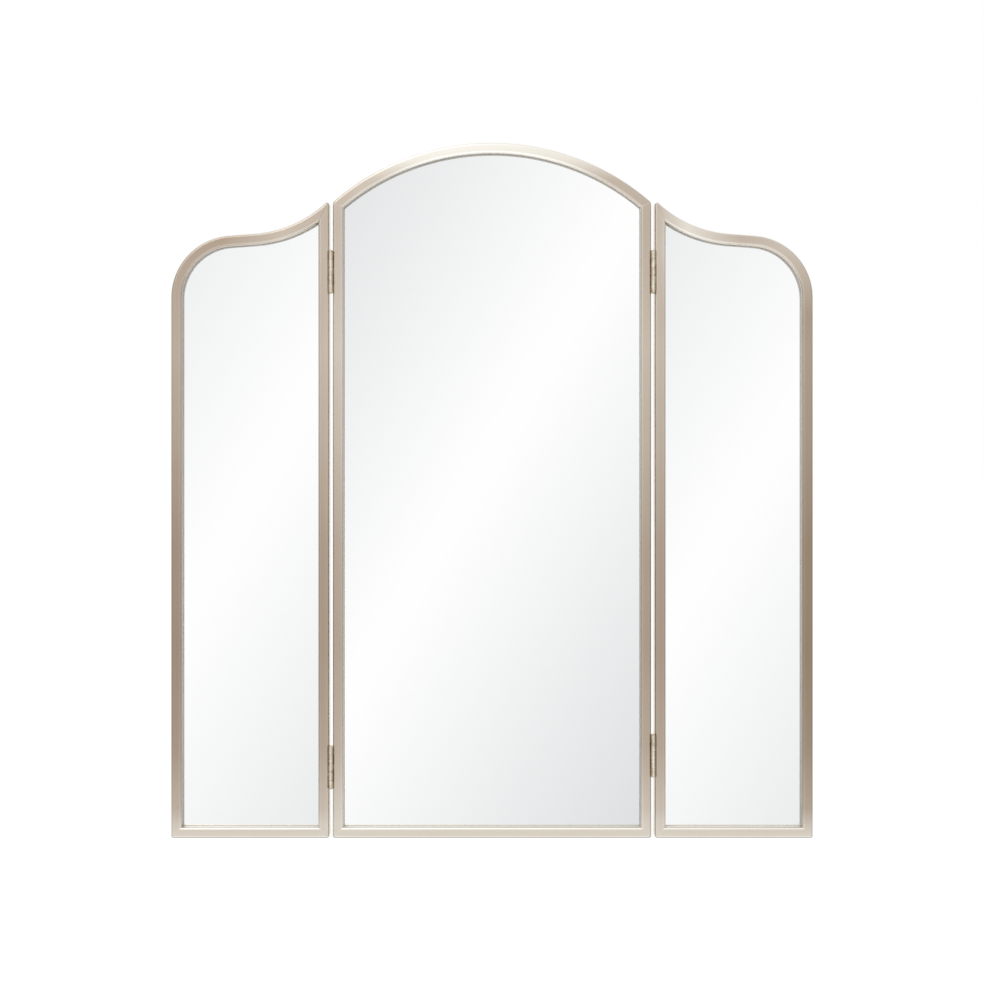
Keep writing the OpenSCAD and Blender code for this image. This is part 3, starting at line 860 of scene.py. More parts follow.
@dataclass(frozen=True)
class MirrorGlass(Finish):
    """Silvered glass with a painted reflection: the soft, slanting sheen of a bright room in its
    colour.
    """

    offset: float
    # Ends of the painted reflection: its colour where the sheen fades and where it is full.
    low: Colour = (0.7, 0.72, 0.73)
    high: Colour = (0.992, 0.992, 0.99)
    reach: float = 0.65
    dust_size: float = 35.0
    dust_share: float = 0.3
    dust_loss: float = 0.02

    def build(self) -> bpy.types.Material:
        """Builds the material.

        Returns:
            The material.
        """
        material, nodes, shader = self.start()
        place = nodes.add("ShaderNodeTexCoord").outputs["Object"]
        # Painted reflection of a bright room, laid into the mirror's colour.
        painted_sheen = nodes.group(PAINTED_SHEEN, Vector=place, Offset=self.offset, Reach=self.reach)
        film = nodes.group(DUST, Vector=place, Size=self.dust_size, Share=self.dust_share)["Film"]
        loss = nodes.maths("MULTIPLY", film, self.dust_loss)
        level = nodes.maths("SUBTRACT", painted_sheen["Level"], loss)
        nodes.fill(shader, Base_Color=nodes.ramp(level, [(0.0, self.low), (1.0, self.high)]))
        return material


@dataclass(frozen=True)
class FoamTape(Finish):
    """Pale foam glazing tape with open pores."""

    colour: Colour = (0.5, 0.49, 0.47)
    pores: float = 1400.0
    relief: Span = (0.4, 0.0003)

    def build(self) -> bpy.types.Material:
        """Builds the material.

        Returns:
            The material.
        """
        material, nodes, shader = self.start()
        place = nodes.add("ShaderNodeTexCoord").outputs["Object"]
        cells = nodes.add("ShaderNodeTexVoronoi", Vector=place, Scale=self.pores)
        depth = cells.outputs["Distance"]
        light = tuple(min(1.5 * c, 0.9) for c in self.colour)
        colour = nodes.ramp(depth, [(0.1, self.colour), (0.7, light)])
        nodes.fill(shader, Base_Color=colour, Normal=nodes.bump(depth, *self.relief))
        return material


@dataclass(frozen=True)
class Hardboard(Finish):
    """Pressed brown board with short fibres, scuffed and a little dusty.

    Its warp is how far slow noise bends the fibres.
    """

    light: Colour = (0.24, 0.145, 0.08)
    dark: Colour = (0.10, 0.055, 0.03)
    fibre: tuple[int, int, int] = (260, 260, 900)
    cloud: tuple[int, int, int] = (14, 14, 10)
    warp: float = 0.02
    warp_size: float = 90.0
    swing: float = 0.25
    smoothest: float = 0.5
    relief: Span = (0.25, 0.0004)
    dust_size: float = 18.0
    dust_share: float = 0.45
    dust_gain: float = 0.12

    def build(self) -> bpy.types.Material:
        """Builds the material.

        Returns:
            The material.
        """
        material, nodes, shader = self.start()
        place = nodes.add("ShaderNodeTexCoord").outputs["Object"]
        noise = nodes.add("ShaderNodeTexNoise", Vector=place, Scale=self.warp_size, Detail=3.0)
        bent = nodes.add("ShaderNodeVectorMath", operation="MULTIPLY_ADD",
                         in_0=noise.outputs["Color"], in_1=(self.warp,) * 3, in_2=place).outputs[0]
        fibre = nodes.group(BRUSHING, Vector=bent, Streak=self.fibre, Cloud=self.cloud)
        film = nodes.group(DUST, Vector=place, Size=self.dust_size, Share=self.dust_share)["Film"]
        slow = nodes.maths("MULTIPLY", fibre["Clouds"], 0.35)
        level = nodes.maths("MULTIPLY_ADD", fibre["Streaks"], 0.75, slow)
        level = nodes.maths("MULTIPLY_ADD", film, self.dust_gain, level)
        rough = nodes.maths("MULTIPLY_ADD", fibre["Streaks"], self.swing, self.smoothest)
        nodes.fill(shader, Base_Color=nodes.ramp(level, [(0.3, self.dark), (0.8, self.light)]),
                   Roughness=rough, Normal=nodes.bump(fibre["Streaks"], *self.relief))
        return material


class Finishes:
    """The materials of the object that more than one piece wears."""

    def __init__(self) -> None:
        """Builds every one of them."""
        self.bar = BrushedBar("champagne_bar", 0.32, 1.0).build()
        self.hinge = HingeMetal("champagne_hinge", 0.2, 1.0, shade(246, 236, 218),
                                shade(172, 157, 133)).build()
        self.pin = self.steel("hinge_pin", 0.24, shade(214, 198, 172), shade(168, 150, 124))
        self.screw = self.steel("plated_screw", 0.3, shade(206, 198, 184), shade(150, 142, 128))
        self.spring = self.steel("spring_steel", 0.34, shade(172, 176, 184), shade(96, 102, 116))
        self.key = self.steel("zinc_key", 0.42, shade(186, 188, 190), shade(132, 134, 138))
        self.tape = FoamTape("foam_tape", 0.85, 0.0).build()
        self.board = Hardboard("hardboard", 0.62, 0.0).build()

    def steel(self, name: str, roughness: float, light: Colour, dark: Colour) -> bpy.types.Material:
        """Builds a plain metal."""
        return SolidMetal(name, roughness, 1.0, light, dark).build()


# ---- the frame's bars


@dataclass(frozen=True)
class Corner:
    """A rounded outer corner in plan: its circle, and the outward directions of the two sides."""

    centre: Plan
    first: Plan
    last: Plan
    radius: float

    def pull(self, plan: np.ndarray, inset: np.ndarray) -> np.ndarray:
        """Pulls points beyond the circle in to it.

        A point between the two directions, seen from the circle's centre, is a sum of both with
        weights that aren't negative. It moves along its line to the centre until its distance is
        the radius less its inset, so that the rounding shrinks with the inset as the sides do.

        Args:
            plan: plan points.
            inset: inset of each from the outer edge.

        Returns:
            The points, rounded at this corner.
        """
        gap = plan - np.array(self.centre)
        (ax, az), (bx, bz) = self.first, self.last
        whole = ax * bz - az * bx
        a = (gap[..., 0] * bz - gap[..., 1] * bx) / whole
        b = (ax * gap[..., 1] - az * gap[..., 0]) / whole
        away = np.linalg.norm(gap, axis=-1)
        keep = np.maximum(self.radius - inset, 0)
        beyond = (a >= 0) & (b >= 0) & (away > keep) & (inset < self.radius)
        scale = np.where(beyond, keep / np.maximum(away, 1e-9), 1.0)
        return np.array(self.centre) + gap * scale[..., None]


@dataclass(frozen=True)
class Mitre:
    """A mitre's straight line from the outer corner to the inner one."""

    outer: Plan
    inner: Plan

    def at(self, inset: np.ndarray) -> np.ndarray:
        """Gives the point of the line that is a given inset from a straight bar's edge."""
        outer, inner = np.array(self.outer), np.array(self.inner)
        return outer + (inner - outer) * (inset / SECTION.face)[..., None]

    def turn(self, centre: np.ndarray, radius: np.ndarray, inset: np.ndarray) -> np.ndarray:
        """Gives the angle at which a circle crosses the line.

        The share t of the line solves |outer + t (inner - outer) - centre| = radius, a square
        equation, and of its two roots the one nearer to the straight bar's share is meant.

        Args:
            centre: the circle's centre.
            radius: its radius for each inset.
            inset: the insets.

        Returns:
            The angles in radians, from 0 to a full turn.
        """
        start, along = np.array(self.outer) - centre, np.array(self.inner) - np.array(self.outer)
        b, a = start @ along, along @ along
        root = np.sqrt(b * b - a * (start @ start - radius**2))
        near = inset / SECTION.face
        first, second = (-b + root) / a, (-b - root) / a
        share = np.where(np.abs(first - near) < np.abs(second - near), first, second)
        point = start + along * share[..., None]
        return np.arctan2(point[..., 1], point[..., 0]) % (2 * math.pi)


def on_circle(centre: np.ndarray, radius: np.ndarray, turn: np.ndarray) -> np.ndarray:
    """Gives points on circles: the centre plus each radius times cosine and sine of its angle."""
    return centre + radius[..., None] * np.stack([np.cos(turn), np.sin(turn)], -1)


class Route(ABC):
    """The way of a bar in plan. Its place at a share of the way depends on the inset."""

    laps = 1

    @abstractmethod
    def at(self, share: np.ndarray, inset: np.ndarray) -> np.ndarray:
        """Gives the plan points at a share of the way, from 0 to the number of laps."""


@dataclass(frozen=True)
class StraightRoute(Route):
    """A straight bar between two mitres."""

    first: Mitre
    last: Mitre

    def at(self, share: np.ndarray, inset: np.ndarray) -> np.ndarray:
        """Gives points on the line between the mitres' own points."""
        a, b = self.first.at(inset), self.last.at(inset)
        return a + (b - a) * share[..., None]


@dataclass(frozen=True)
class ArchRoute(Route):
    """The arched bar, from its left mitre over the top to its right one."""

    centre_z: float
    radius: float
    first: Mitre
    last: Mitre

    def at(self, share: np.ndarray, inset: np.ndarray) -> np.ndarray:
        """Gives points on a circle whose radius is the arch's less the inset.

        Args:
            share: share of the way from the first mitre to the last one.
            inset: insets from the outer edge.

        Returns:
            Plan points, at angles that run evenly from one mitre's to the other's.
        """
        centre, radius = np.array([0.0, self.centre_z]), self.radius - inset
        a = self.first.turn(centre, radius, inset)
        turn = a + (self.last.turn(centre, radius, inset) - a) * share
        return on_circle(centre, radius, turn)


@dataclass(frozen=True)
class BentRoute(Route):
    """A wing's bent bar: lap 0 is the sweep, 1 the run, 2 the shoulder bend, 3 the upright side."""

    shape: "WingShape"
    first: Mitre
    last: Mitre
    laps = 4

    def at(self, share: np.ndarray, inset: np.ndarray) -> np.ndarray:
        """Gives points on the circle or line of each lap.

        The sweep turns about its centre from the mitre's angle to the run's, the run joins the two
        arcs' ends, the bend turns from the run's angle to zero, and the side goes straight to the
        lower mitre.

        Args:
            share: lap and share of it, from 0 to 4.
            inset: insets from the outer edge.

        Returns:
            Plan points.
        """
        shape, fall = self.shape, self.shape.fall
        lap = np.minimum(np.floor(share), 3)
        t = share - lap
        radius = shape.sweep + inset
        first = self.first.turn(shape.sweep_c, radius, inset)
        sweep = on_circle(shape.sweep_c, radius, first + (1.5 * math.pi - fall - first) * t)
        start = shape.sweep_c - radius[..., None] * shape.normal
        tight = shape.shoulder - inset
        end = shape.shoulder_c + tight[..., None] * shape.normal
        bend = on_circle(shape.shoulder_c, tight, (0.5 * math.pi - fall) * (1 - t))
        high = np.stack([shape.width - inset, np.full_like(inset, shape.side)], -1)
        side = high + (self.last.at(inset) - high) * t[..., None]
        run = start + (end - start) * t[..., None]
        lap = lap[..., None]
        return np.where(lap == 0, sweep, np.where(lap == 1, run, np.where(lap == 2, bend, side)))


@dataclass(frozen=True)
class CentreShape:
    """Outline of the centre panel: upright sides under one circular arch.

    The rise is the arch's, and corner and foot are the radii of the upper and lower corners.
    """

    width: float = 378.0
    height: float = 825.96
    rise: float = 71.0
    corner: float = 6.0
    foot: float = 3.0

    @property
    def half(self) -> float:
        """Half of the panel's width."""
        return self.width / 2

    @property
    def radius(self) -> float:
        """Radius of the arch, from its chord and rise."""
        return (self.half**2 + self.rise**2) / (2 * self.rise)

    @property
    def centre_z(self) -> float:
        """Height of the arch's centre."""
        return self.height - self.radius

    def top(self, inset: float) -> float:
        """Height at which the arch meets a side, both drawn in."""
        return self.centre_z + math.sqrt((self.radius - inset)**2 - (self.half - inset)**2)

    def outline(self, inset: float, steps: int = 96) -> np.ndarray:
        """Gives the closed outline, drawn in all round.

        Args:
            inset: how far it is drawn in.
            steps: number of steps along the arch.

        Returns:
            Plan points: the two lower corners and then the arch.
        """
        radius, half = self.radius - inset, self.half - inset
        end = math.degrees(math.acos(half / radius))
        return np.vstack([
            [[half, inset], [-half, inset]],
            arc((0, self.centre_z), radius, 180 - end, end, steps),
        ])

    def mitre(self, side: int, low: bool) -> Mitre:
        """Gives the mitre at one of the four corners.

        Args:
            side: the sign of its place across.
            low: whether it is a lower one.

        Returns:
            The mitre.
        """
        outer, inner = side * self.half, side * (self.half - SECTION.face)
        if low:
            return Mitre((outer, 0.0), (inner, SECTION.face))
        return Mitre((outer, self.top(0)), (inner, self.top(SECTION.face)))

    def corners(self) -> list[Corner]:
        """Gives the four outer corners.

        Returns:
            For each side, the corner at the foot and the one at the shoulder.
        """
        foot, top = self.foot, self.top(self.corner)
        inner = self.half - self.corner
        reach = self.radius - self.corner
        slope = (inner / reach, (top - self.centre_z) / reach)
        return [
            corner for side in (-1.0, 1.0) for corner in (
                Corner((side * (self.half - foot), foot), (side, 0.0), (0.0, -1.0), foot),
                Corner((side * inner, top), (side, 0.0), (side * slope[0], slope[1]), self.corner),
            )
        ]

    def routes(self) -> dict[str, Route]:
        """Gives the way of each bar. Each goes round so that its outer edge is on the left hand.

        Returns:
            The ways by the bars' names.
        """
        left, right = self.mitre(-1, False), self.mitre(1, False)
        low_left, low_right = self.mitre(-1, True), self.mitre(1, True)
        return {
            "left_stile": StraightRoute(low_left, left),
            "right_stile": StraightRoute(right, low_right),
            "bottom_rail": StraightRoute(low_right, low_left),
            "arch_rail": ArchRoute(self.centre_z, self.radius, left, right),
        }


@dataclass(frozen=True)
class WingShape:
    """Outline of the right wing from its hinge side: a sweep from the peak, a run and a bend.

    The hinge side stands at the offset from the middle of the object, and side is the height at
    which the bend meets the outer side. Shoulder, sweep, tip and foot are the radii of the bend,
    the sweep, the peak and the lower corners. The run falls outwards by an angle whose sine is
    fall_sine, which brings the peak to its place.
    """

    width: float = 187.5
    offset: float = 193.5
    side: float = 641.5
    shoulder: float = 74.0
    run: float = 31.0
    tip: float = 2.5
    foot: float = 3.0
    sweep: float = 140.0
    fall_sine: float = 237 / 3125

    @property
    def fall(self) -> float:
        """Angle by which the run falls, in radians."""
        return math.asin(self.fall_sine)

    @property
    def normal(self) -> np.ndarray:
        """Direction that points up and out from the run."""
        return np.array([math.sin(self.fall), math.cos(self.fall)])

    @property
    def shoulder_c(self) -> np.ndarray:
        """Centre of the shoulder bend."""
        return np.array([self.width - self.shoulder, self.side])

    @property
    def sweep_c(self) -> np.ndarray:
        """Centre of the sweep."""
        along = np.array([-math.cos(self.fall), math.sin(self.fall)])
        return self.shoulder_c + (self.shoulder + self.sweep) * self.normal + self.run * along

    def peak(self, inset: float) -> float:
        """Height at which the sweep meets the hinge side, both drawn in."""
        x, z = self.sweep_c
        return z - math.sqrt((self.sweep + inset)**2 - (x - inset)**2)

    def outline(self, inset: float, steps: int = 64) -> np.ndarray:
        """Gives the closed outline, drawn in all round.

        Args:
            inset: how far it is drawn in.
            steps: number of steps along each arc.

        Returns:
            Plan points: the two lower corners, the sweep and the bend.
        """
        centre = self.sweep_c
        first = 180 + math.degrees(math.acos((centre[0] - inset) / (self.sweep + inset)))
        fall = math.degrees(self.fall)
        return np.vstack([
            [[self.width - inset, inset], [inset, inset]],
            arc(tuple(centre), self.sweep + inset, first, 270 - fall, steps),
            arc(tuple(self.shoulder_c), self.shoulder - inset, 90 - fall, 0, steps),
        ])

    def corners(self) -> list[Corner]:
        """Gives the three outer corners.

        Returns:
            The two at the foot and the one at the peak.
        """
        foot, tip = self.foot, self.tip
        at = np.array([tip, self.peak(tip)])
        slope = (self.sweep_c - at) / np.linalg.norm(self.sweep_c - at)
        return [
            Corner((foot, foot), (-1.0, 0.0), (0.0, -1.0), foot),
            Corner((self.width - foot, foot), (1.0, 0.0), (0.0, -1.0), foot),
            Corner(tuple(at.tolist()), (-1.0, 0.0), tuple(slope.tolist()), tip),
        ]

    def routes(self) -> dict[str, Route]:
        """Gives the way of each bar. Each goes round so that its outer edge is on the left hand.

        Returns:
            The ways by the bars' names.
        """
        face, width = SECTION.face, self.width
        foot = Mitre((0.0, 0.0), (face, face))
        outer_foot = Mitre((width, 0.0), (width - face, face))
        peak = Mitre((0.0, self.peak(0)), (face, self.peak(face)))
        return {
            "stile": StraightRoute(foot, peak),
            "bent_rail": BentRoute(self, peak, outer_foot),
            "bottom_rail": StraightRoute(outer_foot, foot),
        }


@dataclass(frozen=True)
class Bar:
    """One bar of a frame: its way, the corners near it, and the seam where it meets the next bar.

    Rings stand a step apart along the bar, and near both ends at the close distances.
    """

    route: Route
    corners: list[Corner]
    step: float = 6.0
    close: tuple[float, ...] = (0.35, 0.8, 1.3, 1.8, 2.4, 3.0, 3.8, 4.8, 6.0, 8.0)
    seam: float = 0.14
    samples: int = 200

    def places(self, whole: float) -> np.ndarray:
        """Gives the places of the rings.

        Args:
            whole: length of the bar.

        Returns:
            Distances along the bar.
        """
        near = np.array(self.close)
        steps = max(int((whole - 2 * near[-1]) / self.step), 2)
        middle = np.linspace(near[-1], whole - near[-1], steps + 1)
        return np.concatenate([[0], near[:-1], middle, whole - near[-2::-1], [whole]])

    def shape(self) -> Shape:
        """Carries the section along the way.

        A ring is the section at one place of the way, and section point (w, d) goes to the way's
        plan point for inset w, at depth d. The section is drawn in a little at both ends, which
        leaves a fine V-groove along each mitre.

        Returns:
            The closed bar, with its length and its way round the section as UV. The way is zero
            where the outer wall turns into the rounded edge, and negative on the wall.
        """
        full = SECTION.loop()
        laps = self.route.laps
        fine = np.linspace(0, laps, self.samples * laps + 1)
        middle = self.route.at(fine, np.full(len(fine), SECTION.face / 2))
        place = self.places(float(run_length(middle)[-1]))
        share = np.interp(place, run_length(middle), fine)
        rings, around = len(share), len(full)
        section = np.repeat(full[None], rings, 0)
        section[0] = section[-1] = SECTION.shrunk(full, self.seam)
        plan = self.route.at(np.repeat(share[:, None], around, 1), section[..., 0])
        for corner in self.corners:
            plan = corner.pull(plan, section[..., 0])
        points = np.stack([plan[..., 0], FRONT + section[..., 1], plan[..., 1]], -1).reshape(-1, 3)
        girth = run_length(full)
        uv = np.stack(np.meshgrid(place, girth - girth[1], indexing="ij"), -1).reshape(-1, 2)
        faces = grid_faces(rings, around)
        faces += [list(range(around))[::-1], list(range((rings - 1) * around, rings * around))]
        return Shape(points, faces, uv).outward()


def run_length(points: np.ndarray) -> np.ndarray:
    """Gives the length of a line up to each of its points."""
    return np.concatenate([[0], np.cumsum(np.linalg.norm(np.diff(points, axis=0), axis=1))])


def on_side(shape: Shape, side: Side, offset: float) -> Shape:
    """Moves a wing's shape to its place and mirrors it for the left side.

    Args:
        shape: the shape, drawn for the right wing from its hinge side.
        side: which wing.
        offset: distance of the wing's hinge side from the middle.

    Returns:
        The shape in place.
    """
    turn = np.diag([float(side.value), 1.0, 1.0])
    return shape.moved(turn, np.array([side.value * offset, 0.0, 0.0]))


def plate(outlines: list[np.ndarray], depths: list[float]) -> Shape:
    """Builds a flat plate of loops in plan, each at its depth, closed by its first and last loop.

    Args:
        outlines: loops of as many points each.
        depths: the depth of each loop.

    Returns:
        The closed plate.
    """
    around = len(outlines[0])
    points = np.vstack([
        np.stack([loop[:, 0], np.full(around, FRONT + depth), loop[:, 1]], -1)
        for loop, depth in zip(outlines, depths)
    ])
    last = (len(depths) - 1) * around
    faces = grid_faces(len(depths), around)
    faces += [list(range(around))[::-1], list(range(last, last + around))]
    return Shape(points, faces).outward()


# ---- glazing and small parts


@dataclass(frozen=True)
class Glazing:
    """Depths and insets of what a frame holds. The arris is how far a sheet's edges are eased."""

    inset: float = 4.0
    glass_at: float = 12.8
    glass_t: float = 3.0
    board_t: float = 2.5
    arris: float = 0.4

    def sheet(self, panel: CentreShape | WingShape, first: float, thick: float) -> Shape:
        """Cuts a sheet to the panel's outline, with its long edges eased.

        Args:
            panel: the panel's outline.
            first: depth of the sheet's front.
            thick: its thickness.

        Returns:
            The sheet.
        """
        ease, last = self.arris, first + thick
        inner, outer = panel.outline(self.inset + ease), panel.outline(self.inset)
        return plate([inner, outer, outer, inner], [first, first + ease, last - ease, last])

    def glass(self, panel: CentreShape | WingShape) -> Shape:
        """Cuts the mirror."""
        return self.sheet(panel, self.glass_at, self.glass_t)

    def board(self, panel: CentreShape | WingShape) -> Shape:
        """Cuts the backing board."""
        return self.sheet(panel, self.glass_at + self.glass_t, self.board_t)


@dataclass(frozen=True)
class SpringClip:
    """A bowed strip of spring steel that presses the board forward.

    Its ends stand off the board by the rise, and its side stays a gap away from the bar's edge.
    """

    length: float = 40.0
    width: float = 9.0
    thick: float = 0.4
    rise: float = 1.3
    depth: float = 18.3
    gap: float = 3.3
    corner: float = 2.5
    steps: int = 40

    def shape(self) -> Shape:
        """Bends a strip with rounded ends.

        Along the length u from -1 to 1 the strip stands off the board by the rise times u squared.
        Its half width is the full one, less what a quarter circle takes off near the ends.

        Returns:
            The clip, lying along the upright axis beside a wall at zero.
        """
        u = np.linspace(-1, 1, self.steps + 1)
        reach = self.length / 2
        short = np.clip((np.abs(u) * reach - (reach - self.corner)) / self.corner, 0, 1)
        half = self.width / 2 - self.corner * (1 - np.sqrt(np.maximum(1 - short**2, 0)))
        middle = self.gap + self.width / 2
        z = u * reach
        low = self.depth + self.rise * u**2
        high = low + self.thick
        ring = np.stack([
            np.stack([middle - half, low, z], -1), np.stack([middle + half, low, z], -1),
            np.stack([middle + half, high, z], -1), np.stack([middle - half, high, z], -1),
        ], 1)
        points = ring.reshape(-1, 3) + np.array([0, FRONT, 0])
        faces = grid_faces(len(u), 4)
        faces += [[3, 2, 1, 0], list(range(4 * len(u) - 4, 4 * len(u)))]
        return Shape(points, faces).outward()

    def at(self, place: Plan, turn: float) -> Shape:
        """Lays the clip along a bar.

        Args:
            place: a point of the bar's outer edge.
            turn: angle in degrees from a bar that stands upright at the left.

        Returns:
            The clip in place.
        """
        c, s = math.cos(math.radians(turn)), math.sin(math.radians(turn))
        matrix = np.array([[c, 0, -s], [0, 1, 0], [s, 0, c]])
        return self.shape().moved(matrix, np.array([place[0], 0, place[1]]))


@dataclass(frozen=True)
class Screw:
    """A countersunk screw whose head faces up the upright axis, with its top at zero.

    Head and thread are diameters. The slot is half of a slot's width, the cross its reach as a
    share of the head's radius, the ease the width over which the drive's edges ease out, and the
    rim the head's eased edge.
    """

    head: float
    thread: float
    length: float
    drive: Drive
    recess: float = 0.35
    slot: float = 0.3
    cross: float = 0.62
    ease: float = 0.1
    rim: float = 0.08
    rings: int = 14
    steps: int = 48

    def shape(self) -> Shape:
        """Turns the screw and presses the drive into its head.

        The top is sunk by the recess where the point lies in the slot, or in either slot of a
        cross, and the sunk part eases out at its edges.

        Returns:
            The closed screw.
        """
        r, t = self.head / 2, self.thread / 2
        top = np.stack([np.linspace(0, r - self.rim, self.rings), np.zeros(self.rings)], -1)
        body = np.array([
            [r, -self.rim], [t + 0.1, t - r], [t, t - r - 0.2], [t, 0.6 - self.length],
            [0.2, -self.length], [0, -self.length],
        ])
        shape = turned(np.vstack([top, body]), self.steps)
        x, y, z = shape.points.T
        reach = r if self.drive is Drive.SLOT else self.cross * r
        sunk = self.within(y, self.slot) * self.within(x, reach)
        if self.drive is Drive.CROSS:
            sunk = np.maximum(sunk, self.within(x, self.slot) * self.within(y, reach))
        shape.points[:, 2] = z - np.where(z > -0.1, sunk * self.recess, 0)
        return shape

    def within(self, value: np.ndarray, limit: float) -> np.ndarray:
        """Gives one where a value is within a limit of zero, eased out beyond it."""
        return np.clip((limit + self.ease - np.abs(value)) / self.ease, 0, 1)


GLAZING = Glazing()
CLIP = SpringClip()
KEY_SCREW = Screw(3.6, 2.0, 2.8, Drive.SLOT, 0.1)
HINGE_SCREW = Screw(5.1, 2.6, 4.0, Drive.CROSS)

# Heights of the clips on the sides, and distances of the key screws from a corner and a peak.
CLIP_HEIGHTS = (190.0, 560.0)
KEY_SCREW_AT = 24.0
PEAK_SCREW_AT = 30.0


def key_screws(places: list[Plan]) -> Shape:
    """Sets the corner keys' screws in the rear flange, heads to the back.

    Args:
        places: where each one stands, in plan.

    Returns:
        The screws as one mesh.
    """
    turn = np.array([[1, 0, 0], [0, 0, 1], [0, 1, 0]], float)
    back = FRONT + SECTION.depth
    return joined([KEY_SCREW.shape().moved(turn, np.array([x, back, z])) for x, z in places])


# ---- sub-assemblies


@dataclass
class Panel(ABC):
    """What the three panels share: a frame, a mirror, a board and what holds them."""

    finishes: Finishes
    shape: CentreShape | WingShape

    @property
    @abstractmethod
    def body(self) -> Body:
        """The body that the panel moves with."""

    @property
    @abstractmethod
    def name(self) -> str:
        """What the panel's nodes and pieces are named after."""

    @abstractmethod
    def mirror(self) -> MirrorGlass:
        """Gives the finish of the panel's mirror."""

    @abstractmethod
    def clips(self) -> Shape:
        """Gives the panel's spring clips."""

    @abstractmethod
    def screw_places(self) -> list[Plan]:
        """Gives the places of the corner keys' screws."""

    def put(self, shape: Shape) -> Shape:
        """Moves a shape from where it is drawn to where the panel stands."""
        return shape

    def fit(self, piece: str, shape: Shape, material: bpy.types.Material, slot: str,
            node: str) -> None:
        """Makes a piece of the panel.

        Args:
            piece: name of the piece, without the panel's.
            shape: its shape, where it is drawn.
            material: its finish.
            slot: its material slot in the record.
            node: name of the node that it stands for, without the panel's.
        """
        make_piece(f"{self.name}_{piece}", self.put(shape), material,
                   Place(self.body, slot, f"{self.name}_{node}"))

    def build(self) -> None:
        """Builds and dresses the panel."""
        wear, shape = self.finishes, self.shape
        for name, route in shape.routes().items():
            bar = Bar(route, shape.corners())
            self.fit(f"{name}_bar", bar.shape(), wear.bar, "frame_metal", name)
        self.fit("mirror", GLAZING.glass(shape), self.mirror().build(), "mirror_glass", "glass")
        self.fit("board", GLAZING.board(shape), wear.board, "backing_board", "backing")
        self.fit("clips", self.clips(), wear.spring, "spring_steel", "springs")
        screws = key_screws(self.screw_places())
        self.fit("set_screws", screws, wear.screw, "plated_screw", "key_screws")
        dress(f"{self.name}_tape", wear.tape)
        dress(f"{self.name}_corner_keys", wear.key)


@dataclass
class CentrePanel(Panel):
    """The arched centre panel."""

    shape: CentreShape
    # Offset of the line on which the mirror's painted reflection is brightest.
    painted_sheen: float = 0.4586

    @property
    def body(self) -> Body:
        """The body that the panel moves with."""
        return Body.CENTRE

    @property
    def name(self) -> str:
        """What the panel's nodes and pieces are named after."""
        return "centre"

    def mirror(self) -> MirrorGlass:
        """Gives the finish of the panel's mirror."""
        return MirrorGlass("centre_mirror", 0.0, 1.0, self.painted_sheen)

    def clips(self) -> Shape:
        """Sets two spring clips at each side, one below and one above.

        Returns:
            The six clips. The upper one hangs as far below the arch as its ends need.
        """
        inner = self.shape.radius - SECTION.wall
        drop = inner - math.sqrt(inner**2 - (CLIP.length / 2)**2)
        half, top = self.shape.half, self.shape.height - drop
        left = [CLIP.at((-half, z), 0) for z in CLIP_HEIGHTS]
        right = [CLIP.at((half, z), 180) for z in CLIP_HEIGHTS]
        return joined([*left, *right, CLIP.at((0, 0), 90), CLIP.at((0, top), -90)])

    def screw_places(self) -> list[Plan]:
        """Gives the places of the corner keys' screws.

        Returns:
            Four at the right and then the same four at the left: beside the foot's corner on both
            bars, on the stile below the shoulder, and along the arch from its angle there.
        """
        half, at, ring = self.shape.half, KEY_SCREW_AT, self.shape.radius - KEY_MID
        turn = math.acos((half - KEY_MID) / ring) + at / ring
        right = [
            (half - at, KEY_MID), (half - KEY_MID, at), (half - KEY_MID, self.shape.top(0) - at),
            (ring * math.cos(turn), self.shape.centre_z + ring * math.sin(turn)),
        ]
        return right + [(-x, z) for x, z in right]


@dataclass
class Wing(Panel):
    """A shaped wing."""

    shape: WingShape
    side: Side
    # Offsets of the lines on which the wings' painted reflections are brightest.
    painted_sheens: tuple[float, float] = (0.8918, -0.1039)
    # Colour to which the wings' painted reflections fade.
    dim: Colour = shade(222, 225, 226)

    @property
    def body(self) -> Body:
        """The body that the wing moves with."""
        return self.side.wing

    @property
    def name(self) -> str:
        """What the wing's nodes and pieces are named after."""
        return self.body.value

    def mirror(self) -> MirrorGlass:
        """Gives the finish of the wing's mirror."""
        painted_sheen = self.painted_sheens[0] if self.side is Side.LEFT else self.painted_sheens[1]
        return MirrorGlass(f"{self.name}_mirror", 0.0, 1.0, painted_sheen, self.dim)

    def put(self, shape: Shape) -> Shape:
        """Moves a shape of the right wing to this wing's place."""
        return on_side(shape, self.side, self.shape.offset)

    def clips(self) -> Shape:
        """Sets two spring clips at each side and one at the foot.

        Returns:
            The five clips.
        """
        width = self.shape.width
        hinge_side = [CLIP.at((0.0, z), 0.0) for z in CLIP_HEIGHTS]
        outer_side = [CLIP.at((width, z), 180.0) for z in CLIP_HEIGHTS]
        return joined([*hinge_side, *outer_side, CLIP.at((width / 2, 0.0), 90.0)])

    def screw_places(self) -> list[Plan]:
        """Gives the places of the corner keys' screws.

        Returns:
            Two at each lower corner, one on the stile below the peak, and one along the sweep from
            its angle there.
        """
        width, at, far = self.shape.width, KEY_SCREW_AT, PEAK_SCREW_AT
        centre, ring = self.shape.sweep_c, self.shape.sweep + KEY_MID
        turn = math.pi + math.acos((centre[0] - KEY_MID) / ring) + far / ring
        return [
            (KEY_MID, at), (at, KEY_MID), (width - at, KEY_MID), (width - KEY_MID, at),
            (KEY_MID, self.shape.peak(KEY_MID) - far),
            (centre[0] + ring * math.cos(turn), centre[1] + ring * math.sin(turn)),
        ]


